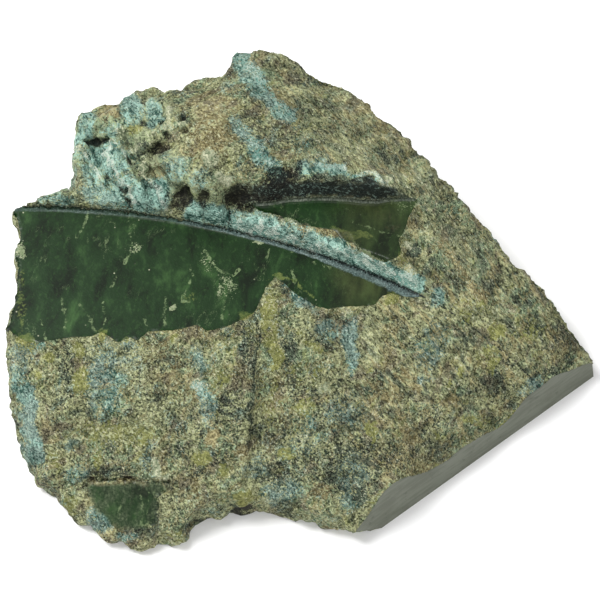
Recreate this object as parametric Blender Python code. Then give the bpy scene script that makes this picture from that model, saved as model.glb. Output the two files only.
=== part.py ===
"""A rough block of nephrite jade, lying on a flat sawn base.

The block is the solid below a height field (the natural skin with two saw windows, a small lower window
and a broken ledge) and inside an upright wall (the broken rim with one straight sawn side).
Lengths inside the helper functions are millimetres. The object itself is in metres, +Z up.
"""

import math

import bmesh
import bpy
import numpy as np

# ---------------------------------------------------------------- driving dimensions

SKETCH_TILT = 65.0  # degrees: the block is sketched looking down at this angle
SKETCH_RANGE = 924.0  # mm from the eye to the middle of the sketch
SKETCH_FOCUS = 2400.0  # sketch units; with the range above, one unit is 0.385 mm
SKETCH_AIM = 22.0  # mm, the height of the point that the sketch is centred on
ORIGIN_X, ORIGIN_Y = 1.743, 3.904  # mm, from the sketch's centre to the centre of the block's box

GRID_STEP = 4.0  # mm, spacing of the height field
WALL_STEP = 5.2  # mm, spacing round the rim
WALL_LEVELS = (0.0, 2.0, 5.0, 9.0, 14.0, 20.0, 27.0, 35.0, 44.0, 54.0, 80.0)  # mm
SKIRT = -20.0  # mm, how far the height field's solid runs below the base

RIM_ROUND = 2.6  # mm, rounding of the broken rim
KERF = 1.7  # mm, height of the smooth groove where the first cut's floor meets its wall
KERF_2 = 1.3  # mm, the same on the second cut
BREAK_SLOPE = 2.3  # rise over run of the broken wall behind the first cut
WALL_2_SLOPE = 2.9  # rise over run of the sawn wall behind the second cut
WALL_2_HEIGHT = 8.6  # mm
SKIN_LARGE = 0.9  # mm, waviness of the skin over 26 mm
SKIN_SMALL = 0.55  # mm, over 9 mm
WALL_ROUGH = 2.4  # mm, depth of the facets of the broken side walls
BASE_INSET = 1.6  # mm, the foot of the walls stands in from the rim
LEAN_REACH = 14.0  # mm above the rim line over which the front walls keep leaning in
SAW_REACH = 26.0  # mm, the same for the sawn side
EVEN_REACH = 9.0  # mm round the rim over which the wall's raggedness evens out
EVEN_DEPTH = 16.0  # mm below the rim by which it has done so
CORNER_REACH = 26.0  # mm, how far round its ends the sawn side's lean is felt

# Points are (u, v, height): u to the right and v down on the sketch, height in mm above the base.

# The outline, clockwise from the top. Along the back it is the upper rim, along the front the foot.
BACK_EDGE = [
    (240, 53, 46), (256, 52, 46), (272, 53, 46), (290, 61, 46), (308, 75, 46), (326, 83, 46),
    (344, 91, 45), (360, 100, 44), (369, 107, 43), (376, 119, 43), (392, 128, 42), (410, 143, 40),
    (424, 159, 39), (440, 176, 37), (456, 192, 36), (472, 216, 34), (488, 233, 32), (504, 255, 30),
    (520, 269, 28), (536, 284, 26), (552, 306, 23), (567, 328, 19), (579, 342, 16), (589, 356, 12),
]  # fmt: skip
SAWN_EDGE = [(593.5, 376.5, 0), (381.7, 528, 0), (366, 531, 5), (354, 533, 9)]
FRONT_EDGE = [
    (346, 531, 6), (338, 529, 5), (326, 526, 4), (312, 521, 4), (296, 517, 4), (284, 512, 4),
    (272, 511, 4), (260, 508, 5), (252, 505, 7), (240, 505, 8), (228, 507, 7), (220, 517, 5),
    (208, 519, 4), (198, 522, 4), (191, 528, 4), (187, 537, 3), (182, 542, 3), (172, 542, 3),
    (160, 539, 3), (152, 544, 3), (142, 548, 3), (132, 545, 3), (123, 541, 4), (108, 540, 4),
    (100, 532, 4), (92, 524, 4), (78, 521, 4), (71, 516, 5), (66, 506, 5), (60, 498, 5),
    (54, 491, 6), (44, 486, 6), (37, 481, 6),
]  # fmt: skip
LEFT_EDGE = [
    (34, 472, 7), (29, 462, 8), (24, 450, 9), (22, 440, 11), (18, 428, 14), (15, 413, 17),
    (12, 403, 20), (13, 395, 23), (9, 385, 26), (11, 376, 28), (10, 362, 31), (7, 348, 34),
    (7, 332, 37), (11, 322, 38), (13, 312, 38), (17, 294, 37), (17, 282, 36.5), (19, 268, 36),
    (16, 254, 36), (20, 243, 36), (19, 226, 35.5), (15, 209, 35), (34, 204, 38), (42, 198, 39),
    (56, 193.5, 40), (73, 192, 40.5), (77, 186, 42), (79, 168, 44), (79, 150, 46), (79, 132, 47),
    (80, 116, 47), (88, 111, 47), (97, 109, 47), (106, 104, 47), (119, 106, 47), (126, 99, 47),
    (131, 93, 47), (143, 90, 47), (150, 87, 47), (157, 86, 47), (165, 93, 47), (174, 91, 47),
    (184, 90, 47), (192, 83, 47), (200, 81, 47), (212, 76, 47), (224, 73, 47), (232, 69, 47),
    (236, 59, 46.5),
]  # fmt: skip

# The first saw cut: a flat floor, dished nowhere, that ends at the arc left by the rim of the blade.
CUT_1 = [(15, 207, 35.0), (430, 297, 37.5), (60, 335, 40.0)]
CUT_1_RIM = [(22, 207), (226, 230.2), (430, 300)]
CUT_1_FRONT = [
    (-10, 329), (10, 329), (17, 336), (38, 343), (57, 339), (76, 337), (91, 336), (102, 332),
    (118, 342), (130, 337), (138, 340), (149, 331), (164, 331), (182, 329), (197, 325), (207, 331),
    (226, 327), (239, 321), (254, 313), (261, 299), (266, 288), (275, 277), (286, 285), (296, 294),
    (308, 301), (318, 307), (328, 309), (340, 307), (358, 306), (375, 305), (383, 296), (391, 293),
    (406, 297), (420, 297.5), (431, 299),
]  # fmt: skip

# The second saw cut, higher up: its floor, the line where its wall rises, and the crest in front of it.
CUT_2 = [(250, 205, 44.0), (408, 205, 44.5), (350, 238, 46.0)]
CUT_2_LINE = [
    (150, 216), (213, 212), (240, 205.5), (270, 204), (289, 200.5), (321, 199), (345, 200), (362, 202),
    (376, 202.5), (391, 200), (421, 199.5), (450, 198),
]  # fmt: skip
CREST = [
    (230, 209), (255, 211), (270, 213), (283, 215), (298, 220), (313, 226.5), (332, 229.6), (351, 238),
    (362, 246), (373, 254), (391, 259), (398, 256),
]  # fmt: skip

# The small window low on the left.
CUT_3 = [(90, 483, 15.0), (165, 484, 15.5), (120, 531, 8.0)]
CUT_3_EDGE = [
    (87, 481), (118, 480.5), (142, 481), (170, 483), (167, 492), (158, 497), (159, 512), (158, 526),
    (143, 530), (120, 531), (107, 522), (94, 512), (88, 496),
]  # fmt: skip

# Heights of the skin, as if neither saw cut had been made.
SKIN = [
    # back slope
    (245, 75, 51), (290, 80, 49.5), (330, 105, 49), (360, 125, 47), (400, 152, 43.5), (430, 182, 41),
    (452, 208, 38), (210, 90, 52), (230, 112, 57), (270, 110, 55.5), (310, 125, 53.5), (350, 145, 51),
    (390, 170, 47), (190, 110, 55.5), (160, 105, 51), (140, 108, 49.5), (110, 115, 48.5),
    # top
    (240, 140, 61), (280, 150, 59.8), (320, 158, 57), (350, 168, 54.5), (375, 175, 52), (400, 186, 48),
    (420, 197, 44.6), (200, 140, 60), (215, 168, 60), (180, 148, 57), (250, 170, 60), (285, 166, 59),
    # broken shoulder on the left
    (160, 138, 54), (140, 130, 51.5), (120, 125, 50), (100, 128, 48.8), (88, 125, 48),
    (150, 160, 51), (170, 166, 54.5), (192, 172, 57.5), (86, 160, 44.8), (100, 152, 44.5),
    (115, 158, 46.5), (130, 163, 48.5), (84, 185, 41.5), (100, 180, 42), (118, 180, 43.5),
    (133, 184, 45.5), (150, 184, 47), (165, 188, 49), (182, 190, 50.5), (202, 190, 53), (218, 187, 55),
    (46, 202, 39.5), (66, 200, 39.5), (84, 200, 39.2), (100, 203, 39.6), (120, 205, 40.5),
    (140, 207, 41.5), (160, 210, 42.3), (180, 212, 43.2), (200, 213, 44.2), (218, 214, 44.8),
    # ridge between the cuts
    (235, 222, 43.2), (255, 228, 43.2), (282, 236, 43), (313, 245, 43), (335, 252, 42.8),
    (353, 259, 42.8), (370, 266, 42.3), (391, 273, 41.3), (408, 279, 40.4), (412, 266, 42.5),
    (424, 280, 40.6), (428, 293, 38.6),
    # beside the second cut
    (409, 246, 43.6), (418, 222, 43.4), (425, 205, 43.2), (432, 240, 42.2), (445, 262, 40),
    # right face
    (440, 300, 37.6), (460, 235, 39), (472, 262, 37), (480, 300, 34.5), (520, 300, 29.5),
    (400, 318, 37.8), (440, 340, 35.5), (480, 340, 31.5), (520, 340, 27.5), (555, 338, 23),
    (400, 360, 35.5), (440, 380, 31), (480, 380, 26.5), (520, 375, 22.5), (400, 400, 32.5),
    (400, 440, 27), (440, 420, 25), (478, 412, 19.5), (350, 360, 37), (350, 400, 33.5),
    (350, 440, 29), (350, 478, 23), (300, 340, 37.5), (300, 380, 34.5), (300, 420, 30.5),
    (300, 460, 25), (300, 490, 18.5), (300, 507, 13), (262, 340, 38.3), (262, 380, 34.6),
    (258, 430, 28.5), (252, 475, 21), (262, 500, 14), (340, 505, 17), (336, 520, 12.5),
    # rim of the sawn side
    (358, 518, 12.5), (365, 507, 15.4), (385, 494, 19.5), (404, 480, 20), (420, 478, 15),
    (440, 468, 12.2), (451, 461, 11.6), (475, 440, 13.2), (495, 431, 10), (511, 416, 12),
    (523, 401, 15.8), (538, 387, 17.2), (552, 377, 17.2), (568, 371, 13.8), (588, 362, 10.5),
    # left face
    (30, 352, 36), (28, 390, 29), (30, 430, 21), (46, 470, 15), (60, 362, 36.6), (100, 362, 36.6),
    (140, 362, 37), (180, 356, 38), (220, 352, 38.8), (246, 345, 39.6), (60, 400, 30.5),
    (100, 400, 31), (140, 400, 31.6), (180, 400, 33), (220, 400, 34.4), (246, 400, 35.4),
    (60, 440, 22.5), (100, 440, 23.8), (140, 440, 24.8), (180, 440, 26.8), (220, 440, 28.8),
    (243, 440, 30), (62, 472, 16.5), (90, 475, 17.8), (130, 475, 18.4), (168, 477, 19.4),
    (200, 480, 21), (235, 480, 22.2), (176, 500, 16.5), (195, 508, 16.5), (215, 506, 16.5),
    (236, 499, 17.5), (172, 528, 9.5), (72, 502, 11.5), (84, 515, 9.5), (108, 531, 7.6),
    (130, 539, 7), (150, 537, 7.2),
]  # fmt: skip

# Ribs (+) and hollows (-) of the broken faces: start, end, height in mm, half width in mm.
RIBS = [
    ((104, 140, 46), (120, 166, 45), 2.2, 2.4), ((120, 166, 45), (136, 204, 42), 2.4, 2.6),
    ((121, 143, 49), (129, 162, 47), 1.4, 1.8), ((142, 160, 51), (172, 211, 43), 1.9, 2.4),
    ((92, 168, 43), (104, 198, 40), 1.2, 2.2), ((89, 140, 46), (103, 146, 45), -3.0, 4.2),
    ((122, 184, 43), (131, 199, 42), -2.4, 2.4), ((149, 182, 47), (158, 194, 46), -2.4, 3.0),
    ((148, 156, 51), (166, 143, 54), -2.6, 3.2), ((176, 192, 50), (190, 204, 46), -4.6, 4.6),
    ((200, 192, 52), (208, 204, 48), -3.2, 3.6), ((228, 196, 50), (246, 194, 50), -5.0, 5.2),
    ((285, 221, 45), (306, 241, 43), 1.2, 1.8), ((270, 216, 45), (291, 236, 43), -0.8, 2.0),
    ((342, 236, 46), (357, 257, 43), 1.1, 1.8), ((314, 232, 45), (334, 250, 43), -0.9, 2.2),
    ((362, 250, 45), (385, 266, 42), 0.9, 1.6), ((405, 244, 43.5), (415, 256, 42.5), -1.8, 2.6),
]  # fmt: skip
CREASE = [(256, 318, 39), (253, 350, 38), (252, 386, 35.5), (247, 430, 30), (243, 470, 23), (238, 500, 17)]
CREASE_DROP = 1.5  # mm, the right face sits lower along the crease


# ---------------------------------------------------------------- layout


def lay(u, v, z):
    """The sketch point (u, v) dropped onto the level z: x and y in mm from the sketch's centre."""
    tilt = math.radians(SKETCH_TILT)
    c, s = math.cos(tilt), math.sin(tilt)
    u, v, z = (np.asarray(a, float) for a in (u, v, z))
    rise = (300.0 - v) / SKETCH_FOCUS
    t = (z - SKETCH_AIM - SKETCH_RANGE * s) / (rise * c - s)
    return t * (u - 300.0) / SKETCH_FOCUS, t * (c + rise * s) - SKETCH_RANGE * c


def plane_through(points):
    """(a, b, c) of z = a + b x + c y through three sketch points."""
    rows, heights = [], []
    for u, v, z in points:
        x, y = lay(u, v, z)
        rows.append((1.0, float(x), float(y)))
        heights.append(z)
    return np.linalg.solve(np.array(rows), np.array(heights))


def level(plane, x, y):
    return plane[0] + plane[1] * x + plane[2] * y


def lay_on(plane, points):
    """Sketch points dropped onto a plane: an array of x, y."""
    u, v = np.array([p[0] for p in points], float), np.array([p[1] for p in points], float)
    z = np.full(len(points), plane[0])
    for _ in range(12):
        x, y = lay(u, v, z)
        z = level(plane, x, y)
    return np.stack([x, y], 1)


def lay_points(points):
    u, v, z = np.array(points, float).T
    return np.stack(lay(u, v, z), 1)


def circle_through(a, b, c):
    """Centre and radius of the circle through three points of the plan."""
    rows = np.array([b - a, c - a]) * 2.0
    right = np.array([b @ b - a @ a, c @ c - a @ a])
    centre = np.linalg.solve(rows, right)
    return centre, float(np.hypot(*(a - centre)))


def along(line, x, y):
    """Signed distance to a polyline (positive on its left) and the share of the way along it."""
    best = np.full(np.shape(x), 1e9)
    side = np.ones(np.shape(x))
    share = np.zeros(np.shape(x))
    steps = np.hypot(*(line[1:] - line[:-1]).T)
    total = steps.sum()
    start = 0.0
    for (ax, ay), (bx, by), length in zip(line[:-1], line[1:], steps, strict=True):
        dx, dy = (bx - ax) / length, (by - ay) / length
        t = np.clip((x - ax) * dx + (y - ay) * dy, 0.0, length)
        off = np.hypot(x - ax - t * dx, y - ay - t * dy)
        near = off < best
        best = np.where(near, off, best)
        side = np.where(near, np.sign(dx * (y - ay) - dy * (x - ax)), side)
        share = np.where(near, (start + t) / total, share)
        start += length
    return best * np.where(side == 0.0, 1.0, side), share


def inside_of(loop, x, y):
    """Distance to a closed loop, negative inside it."""
    closed = np.vstack([loop, loop[:1]])
    away = np.abs(along(closed, x, y)[0])
    odd = np.zeros(np.shape(x), bool)
    for (ax, ay), (bx, by) in zip(closed[:-1], closed[1:], strict=True):
        if ay == by:
            continue
        crosses = (ay > y) != (by > y)
        odd ^= crosses & (x < ax + (y - ay) * (bx - ax) / (by - ay))
    return np.where(odd, -away, away)


def smooth(a, b, value):
    t = np.clip((value - a) / (b - a), 0.0, 1.0)
    return t * t * (3.0 - 2.0 * t)


# ---------------------------------------------------------------- noise


def scatter(ix, iy, iz, seed):
    """A repeatable number from -1 to 1 for each lattice point."""
    h = (ix * 374761393 + iy * 668265263 + iz * 1274126177 + seed * 1442695041) & 0xFFFFFFFF
    h = ((h ^ (h >> 13)) * 1103515245) & 0xFFFFFFFF
    h = ((h ^ (h >> 16)) * 2146121005) & 0xFFFFFFFF
    return ((h ^ (h >> 15)) & 0xFFFF) / 32767.5 - 1.0


def grain(x, y, z, size, seed):
    """Gradient noise, about -1 to 1, with features of the given size."""
    p = [np.asarray(a, float) / size for a in np.broadcast_arrays(x, y, z)]
    cell = [np.floor(a).astype(np.int64) for a in p]
    part = [a - c for a, c in zip(p, cell, strict=True)]
    fade = [f * f * f * (f * (f * 6.0 - 15.0) + 10.0) for f in part]
    total = 0.0
    for i in (0, 1):
        for j in (0, 1):
            for k in (0, 1):
                corner = (cell[0] + i, cell[1] + j, cell[2] + k)
                weight = 1.0
                value = 0.0
                for axis, step in enumerate((i, j, k)):
                    weight = weight * (fade[axis] if step else 1.0 - fade[axis])
                    value = value + scatter(*corner, seed * 3 + axis) * (part[axis] - step)
                total = total + weight * value
    return total * 1.25


def rough(x, y, z, size, seed, octaves):
    """Fractal noise."""
    total, share = 0.0, 1.0
    for octave in range(octaves):
        total = total + share * grain(x, y, z, size, seed + octave)
        size, share = size * 0.5, share * 0.5
    return total


# ---------------------------------------------------------------- the block's surfaces


class Sheet:
    """A smooth sheet through scattered heights: a thin plate, slightly eased."""

    def __init__(self, points, heights, ease):
        self.points = points
        n = len(points)
        gap = np.hypot(points[:, None, 0] - points[None, :, 0], points[:, None, 1] - points[None, :, 1])
        matrix = np.zeros((n + 3, n + 3))
        matrix[:n, :n] = self.kernel(gap) + ease * np.eye(n)
        matrix[:n, n] = matrix[n, :n] = 1.0
        matrix[:n, n + 1 :] = points / 100.0
        matrix[n + 1 :, :n] = points.T / 100.0
        self.weights = np.linalg.solve(matrix, np.concatenate([heights, np.zeros(3)]))

    @staticmethod
    def kernel(gap):
        r = gap / 100.0
        return r * r * np.log(r + 1e-9)

    def __call__(self, x, y):
        total = self.weights[-3] + (self.weights[-2] * x + self.weights[-1] * y) / 100.0
        for (px, py), weight in zip(self.points, self.weights, strict=False):
            total = total + weight * self.kernel(np.hypot(x - px, y - py))
        return total


def skin_sheet():
    """The sheet through the skin heights, the rim and the lines where the cuts run out."""
    points = [lay_points(SKIN)]
    heights = [np.array([p[2] for p in SKIN], float)]
    for edge in (BACK_EDGE, LEFT_EDGE):
        points.append(lay_points(edge)[::2])
        heights.append(np.array([p[2] for p in edge], float)[::2])
    for plane, line, lift in (
        (plane_through(CUT_1), CUT_1_FRONT[1:], 0.0),
        (plane_through(CUT_2), CREST, 0.2),
        (plane_through(CUT_3), CUT_3_EDGE[8:], 0.0),
    ):
        laid = lay_on(plane, line)
        points.append(laid)
        heights.append(level(plane, laid[:, 0], laid[:, 1]) + lift)
    return Sheet(np.vstack(points), np.concatenate(heights), 2e-4)


class Block:
    """The laid-out lines and sheets, and the surfaces that follow from them."""

    def __init__(self):
        self.cut_1, self.cut_2, self.cut_3 = (plane_through(p) for p in (CUT_1, CUT_2, CUT_3))
        self.centre, self.radius = circle_through(*lay_on(self.cut_1, CUT_1_RIM))
        self.line_2 = lay_on(self.cut_2, CUT_2_LINE)
        front = lay_on(self.cut_1, CUT_1_FRONT)
        turn = np.linspace(-8.0, 38.0, 60)
        start = math.atan2(*(lay_on(self.cut_1, [(22, 207)])[0] - self.centre)[::-1])
        arc = [
            self.centre + self.radius * np.array([math.cos(start - math.radians(a)), math.sin(start - math.radians(a))])
            for a in turn
        ]
        arc = np.array([p for p in arc if p[0] < front[-1][0]])
        self.window_1 = np.vstack([arc, front[::-1]])
        self.window_3 = lay_on(self.cut_3, CUT_3_EDGE)
        self.crease = lay_points(CREASE)
        self.sheet = skin_sheet()
        rims = outline(5.0)
        first_sawn, last_sawn = np.flatnonzero(rims[:, 3] > 0.5)[[0, -1]]
        self.rough_rim = np.vstack([rims[last_sawn:, :2], rims[: first_sawn + 1, :2]])
        self.ribs = [
            (np.stack([np.array(lay(*a), float), np.array(lay(*b), float)]), height, width) for a, b, height, width in RIBS
        ]

    def behind_1(self, x, y):
        """Distance behind the arc of the first cut, negative on its floor."""
        return np.hypot(x - self.centre[0], y - self.centre[1]) - self.radius

    def behind_2(self, x, y):
        return along(self.line_2, x, y)[0]

    def skin(self, x, y):
        """The natural and broken skin, with its ribs, its crease and its waviness."""
        z = self.sheet(x, y)
        for line, height, width in self.ribs:
            off = np.abs(along(line, x, y)[0])
            z = z + height * np.exp(-((off / width) ** 2))
        off, share = along(self.crease, x, y)
        fade = smooth(0.0, 0.12, share) * smooth(1.0, 0.9, share)
        z = z - CREASE_DROP * fade * smooth(0.0, 2.2, off) * smooth(30.0, 6.0, off)
        z = z + SKIN_LARGE * rough(x, y, z, 26.0, 11, 2)
        return z + SKIN_SMALL * rough(x, y, z, 9.0, 23, 2)

    def top(self, x, y):
        """The height of the finished top."""
        skin = self.skin(x, y)
        floor_1, floor_2, floor_3 = (level(p, x, y) for p in (self.cut_1, self.cut_2, self.cut_3))
        # In front of the first window the skin runs out at the floor, at no less than a shallow angle.
        out_1 = inside_of(self.window_1, x, y)
        behind_1 = self.behind_1(x, y)
        near = np.where(behind_1 < 0.0, smooth(7.0, 0.0, out_1), 0.0)
        skin = skin + near * (np.minimum(skin, floor_1 - 0.16 * np.maximum(out_1, 0.0)) - skin)
        # The first cut: floor, kerf, then the broken wall.
        step_1 = np.where(
            behind_1 < 0.0,
            KERF * (1.0 - np.sqrt(1.0 - np.clip(1.0 + behind_1 / 1.6, 0.0, 1.0) ** 2)) * 0.8,
            KERF + BREAK_SLOPE * behind_1,
        )
        z = np.where(behind_1 < 0.0, np.where(out_1 < 0.0, floor_1 + step_1, skin), np.minimum(skin, floor_1 + step_1))
        # The second cut: floor, kerf, sawn wall, broken lip.
        behind_2 = self.behind_2(x, y)
        rise = np.clip(behind_2, 0.0, WALL_2_HEIGHT / WALL_2_SLOPE)
        step_2 = np.where(
            behind_2 < 0.0,
            KERF_2 * np.clip(1.0 + behind_2 / 1.4, 0.0, 1.0) ** 2,
            KERF_2 + WALL_2_SLOPE * rise + 0.85 * (np.maximum(behind_2, 0.0) - rise),
        )
        z = np.minimum(z, floor_2 + step_2)
        # The small window.
        out_3 = inside_of(self.window_3, x, y)
        z = z + smooth(0.9, 0.0, out_3) * (np.minimum(z, floor_3) - z)
        # The broken rim is rounded, most where the skin reaches it and least at the window's edge.
        round_off = RIM_ROUND * (1.0 + 0.7 * grain(x, y, 0.0, 17.0, 77)) * np.where(out_1 < 0.0, 0.35, 1.0)
        share = np.clip(1.0 - np.abs(along(self.rough_rim, x, y)[0]) / round_off, 0.0, 1.0)
        return z - round_off * (1.0 - np.sqrt(1.0 - share * share))


# ---------------------------------------------------------------- the outline and its wall


def curve_through(points, closed_ends, step):
    """Points every step along a smooth curve through the given ones (x, y, rim level)."""
    out = []
    count = len(points)
    for i in range(count - 1):
        p0 = points[max(i - 1, 0)] if closed_ends is None else (closed_ends[0] if i == 0 else points[i - 1])
        p1, p2 = points[i], points[i + 1]
        p3 = points[min(i + 2, count - 1)] if closed_ends is None else (closed_ends[1] if i + 2 == count else points[i + 2])
        pieces = max(1, round(float(np.hypot(*(p2 - p1)[:2])) / step))
        for k in range(pieces):
            t = k / pieces
            out.append(
                0.5 * ((2 * p1) + (p2 - p0) * t + (2 * p0 - 5 * p1 + 4 * p2 - p3) * t * t + (3 * p1 - p0 - 3 * p2 + p3) * t**3)
            )
    return out


def outline(step):
    """The rim as rows of x, y, level and a flag that is 1 on the sawn side, clockwise from the top."""

    def laid(points):
        return np.array([(*lay(*p), p[2]) for p in points], float)

    back, sawn, front = laid(BACK_EDGE), laid(SAWN_EDGE), laid(FRONT_EDGE + LEFT_EDGE)
    rows = []
    back_curve = curve_through(back, (front[-1], back[-1]), step) + [back[-1]]
    rows += [(*p, 0.0) for p in back_curve]
    for a, b in zip(sawn[:-1], sawn[1:], strict=True):
        pieces = max(1, round(float(np.hypot(*(b - a)[:2])) / (step * 1.6)))
        rows += [(*(a + (b - a) * k / pieces), 1.0) for k in range(pieces)]
    rows.append((*sawn[-1], 1.0))
    front_curve = curve_through(np.vstack([front, back[:1]]), (front[0], back[1]), step)
    rows += [(*p, 0.0) for p in front_curve]
    return np.array(rows)


def wall_noise(x, y, z):
    """Broken facets: folded noise at two sizes, with its creases running aslant."""
    x, y, z = x + 0.35 * z, y - 0.3 * z, 1.15 * z
    large = np.abs(grain(x, y, z, 34.0, 41)) * 2.6
    return float(large + 0.9 * np.abs(grain(x, y, z, 15.0, 43)) + 0.35 * grain(x, y, z, 7.0, 47))


def wall_offset(rim, normal, z):
    """How far the wall stands out from the rim line at height z, in mm along the outward normal."""
    x, y, edge, sawn = rim
    high = max(edge, 1.0)
    if z >= edge:
        lean = 0.16 if edge < 14.0 else 0.05
        off = -lean * min(z - edge, LEAN_REACH)
        most = 0.2 * (z - edge)
    else:
        depth = 1.0 - z / high
        bulge = 0.10 * edge * max(normal[1], 0.0)
        off = bulge * math.sin(math.pi * min(depth, 1.0)) - BASE_INSET * depth**2.2
        most = (0.03 + 0.4 * max(normal[1], 0.0)) * (edge - z)
    level_z = min(z, edge + LEAN_REACH)
    return min(off + WALL_ROUGH * (wall_noise(x, y, level_z) - wall_noise(x, y, edge)), most)


def wall_points(rims, z):
    """The wall's plan at height z."""
    count = len(rims)
    plan, sawn = rims[:, :2], rims[:, 3] > 0.5
    saw_a, saw_b = (np.array(lay(*p), float) for p in SAWN_EDGE[:2])
    saw = (saw_b - saw_a) / np.hypot(*(saw_b - saw_a))
    saw_normal = np.array([-saw[1], saw[0]])
    # The sawn face leans in by as much as it takes to pass through the raised end of its lower edge.
    end = np.array(lay(*SAWN_EDGE[3]), float)
    lean = -float((end - saw_a) @ saw_normal) / SAWN_EDGE[3][2]
    ends = plan[sawn][[0, -1]]
    # Away from the rim the wall loses the rim's raggedness.
    even = plan.copy()
    for _ in range(max(1, round((EVEN_REACH / np.median(np.hypot(*(plan[1:] - plan[:-1]).T))) ** 2))):
        mean = (np.roll(even, 1, 0) + 2.0 * even + np.roll(even, -1, 0)) / 4.0
        even = np.where(sawn[:, None], plan, mean)
    placed = np.empty_like(plan)
    for i in range(count):
        edge = rims[i, 2]
        if sawn[i]:
            off = -lean * min(z - edge, SAW_REACH) if z >= edge else -1.1 * (edge - z)
            placed[i] = plan[i] + saw_normal * off
            continue
        # The rough wall's normal comes from its own side of a sawn corner, and follows the sawn face's lean there.
        before = max(k for k in (0, 1, 2) if not sawn[(i - np.arange(k + 1)) % count].any())
        after = max(k for k in (0, 1, 2) if not sawn[(i + np.arange(k + 1)) % count].any())
        tangent = plan[(i + after) % count] - plan[(i - before) % count]
        if before + after < 2:
            tangent = plan[(i + 1) % count] - plan[(i - 1) % count]
        normal = np.array([-tangent[1], tangent[0]]) / np.hypot(*tangent)
        gap = np.hypot(*(plan[i] - ends).T)
        share = float(np.max(smooth(CORNER_REACH, 0.0, gap)))
        follow = -lean * float(np.clip(z, 0.0, SAW_REACH)) * share
        ease = 0.85 * float(smooth(0.0, EVEN_DEPTH, abs(z - edge))) * (1.0 - share)
        base = plan[i] + ease * (even[i] - plan[i])
        placed[i] = base + normal * wall_offset(rims[i], normal, z) * (1.0 - 0.7 * share) + saw_normal * follow
    return placed


# ---------------------------------------------------------------- building


def clear_scene():
    for item in list(bpy.data.objects):
        bpy.data.objects.remove(item, do_unlink=True)


def new_collection(name):
    group = bpy.data.collections.new(name)
    bpy.context.scene.collection.children.link(group)
    return group


def add_object(name, mesh, group):
    item = bpy.data.objects.new(name, mesh)
    group.objects.link(item)
    return item


def make_top(block, group):
    """A grid bent to the height field and drawn down to a flat underside."""
    reach_x, reach_y = 124.0, 106.0
    bm = bmesh.new()
    bmesh.ops.create_grid(bm, x_segments=round(2 * reach_x / GRID_STEP), y_segments=round(2 * reach_y / GRID_STEP), size=1.0)
    xy = np.array([(v.co.x * reach_x, v.co.y * reach_y) for v in bm.verts])
    # Grid points next to the arc and to the second cut's line slide onto them, so both stay crisp.
    away = block.behind_1(xy[:, 0], xy[:, 1])
    radial = (xy - block.centre) / np.hypot(*(xy - block.centre).T)[:, None]
    xy = np.where((np.abs(away) < 0.5 * GRID_STEP)[:, None], xy - radial * away[:, None], xy)
    z = np.maximum(block.top(xy[:, 0], xy[:, 1]), 2.0)
    for vert, (x, y), height in zip(bm.verts, xy, z, strict=True):
        vert.co = (x - ORIGIN_X, y - ORIGIN_Y, height)
    drawn = bmesh.ops.extrude_face_region(bm, geom=bm.faces[:])
    for vert in (g for g in drawn["geom"] if isinstance(g, bmesh.types.BMVert)):
        vert.co.z = SKIRT
    bmesh.ops.recalc_face_normals(bm, faces=bm.faces)
    bmesh.ops.scale(bm, vec=(0.001, 0.001, 0.001), verts=bm.verts)
    mesh = bpy.data.meshes.new("jade_boulder")
    bm.to_mesh(mesh)
    bm.free()
    return add_object("jade_boulder", mesh, group)


def make_wall(group):
    """The outline as a filled curve, extruded, ringed at each level and shaped to the broken wall."""
    rims = outline(WALL_STEP)
    curve = bpy.data.curves.new("rim_outline", "CURVE")
    curve.dimensions = "2D"
    curve.fill_mode = "BOTH"
    curve.extrude = WALL_LEVELS[-1] / 2000.0
    spline = curve.splines.new("POLY")
    spline.points.add(len(rims) - 1)
    for point, rim in zip(spline.points, rims, strict=True):
        point.co = (rim[0] / 1000.0, rim[1] / 1000.0, 0.0, 1.0)
    spline.use_cyclic_u = True
    source = add_object("rim_outline", curve, group)
    graph = bpy.context.evaluated_depsgraph_get()
    mesh = bpy.data.meshes.new_from_object(source.evaluated_get(graph))
    bpy.data.objects.remove(source, do_unlink=True)
    bm = bmesh.new()
    bm.from_mesh(mesh)
    bmesh.ops.remove_doubles(bm, verts=bm.verts, dist=1e-6)
    bmesh.ops.translate(bm, vec=(0.0, 0.0, WALL_LEVELS[-1] / 2000.0), verts=bm.verts)
    for height in WALL_LEVELS[1:-1]:
        geometry = bm.verts[:] + bm.edges[:] + bm.faces[:]
        bmesh.ops.bisect_plane(bm, geom=geometry, plane_co=(0, 0, height / 1000.0), plane_no=(0, 0, 1))
    plan = rims[:, :2]
    placed = {height: wall_points(rims, height) for height in WALL_LEVELS}
    for vert in bm.verts:
        x, y, z = (1000.0 * c for c in vert.co)
        nearest = int(np.argmin((plan[:, 0] - x) ** 2 + (plan[:, 1] - y) ** 2))
        height = min(WALL_LEVELS, key=lambda item: abs(item - z))
        x, y = placed[height][nearest]
        vert.co = ((x - ORIGIN_X) / 1000.0, (y - ORIGIN_Y) / 1000.0, height / 1000.0)
    bmesh.ops.recalc_face_normals(bm, faces=bm.faces)
    shaped = bpy.data.meshes.new("rim_wall")
    bm.to_mesh(shaped)
    bm.free()
    bpy.data.meshes.remove(mesh)
    wall = add_object("rim_wall", shaped, group)
    wall.hide_render = True
    wall.display_type = "WIRE"
    return wall


def make_material():
    material = bpy.data.materials.new("weathered_jade")
    material.use_nodes = True
    shader = material.node_tree.nodes["Principled BSDF"]
    shader.inputs["Base Color"].default_value = (0.085, 0.105, 0.052, 1.0)
    shader.inputs["Roughness"].default_value = 0.62
    shader.inputs["Metallic"].default_value = 0.0
    return material


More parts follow.
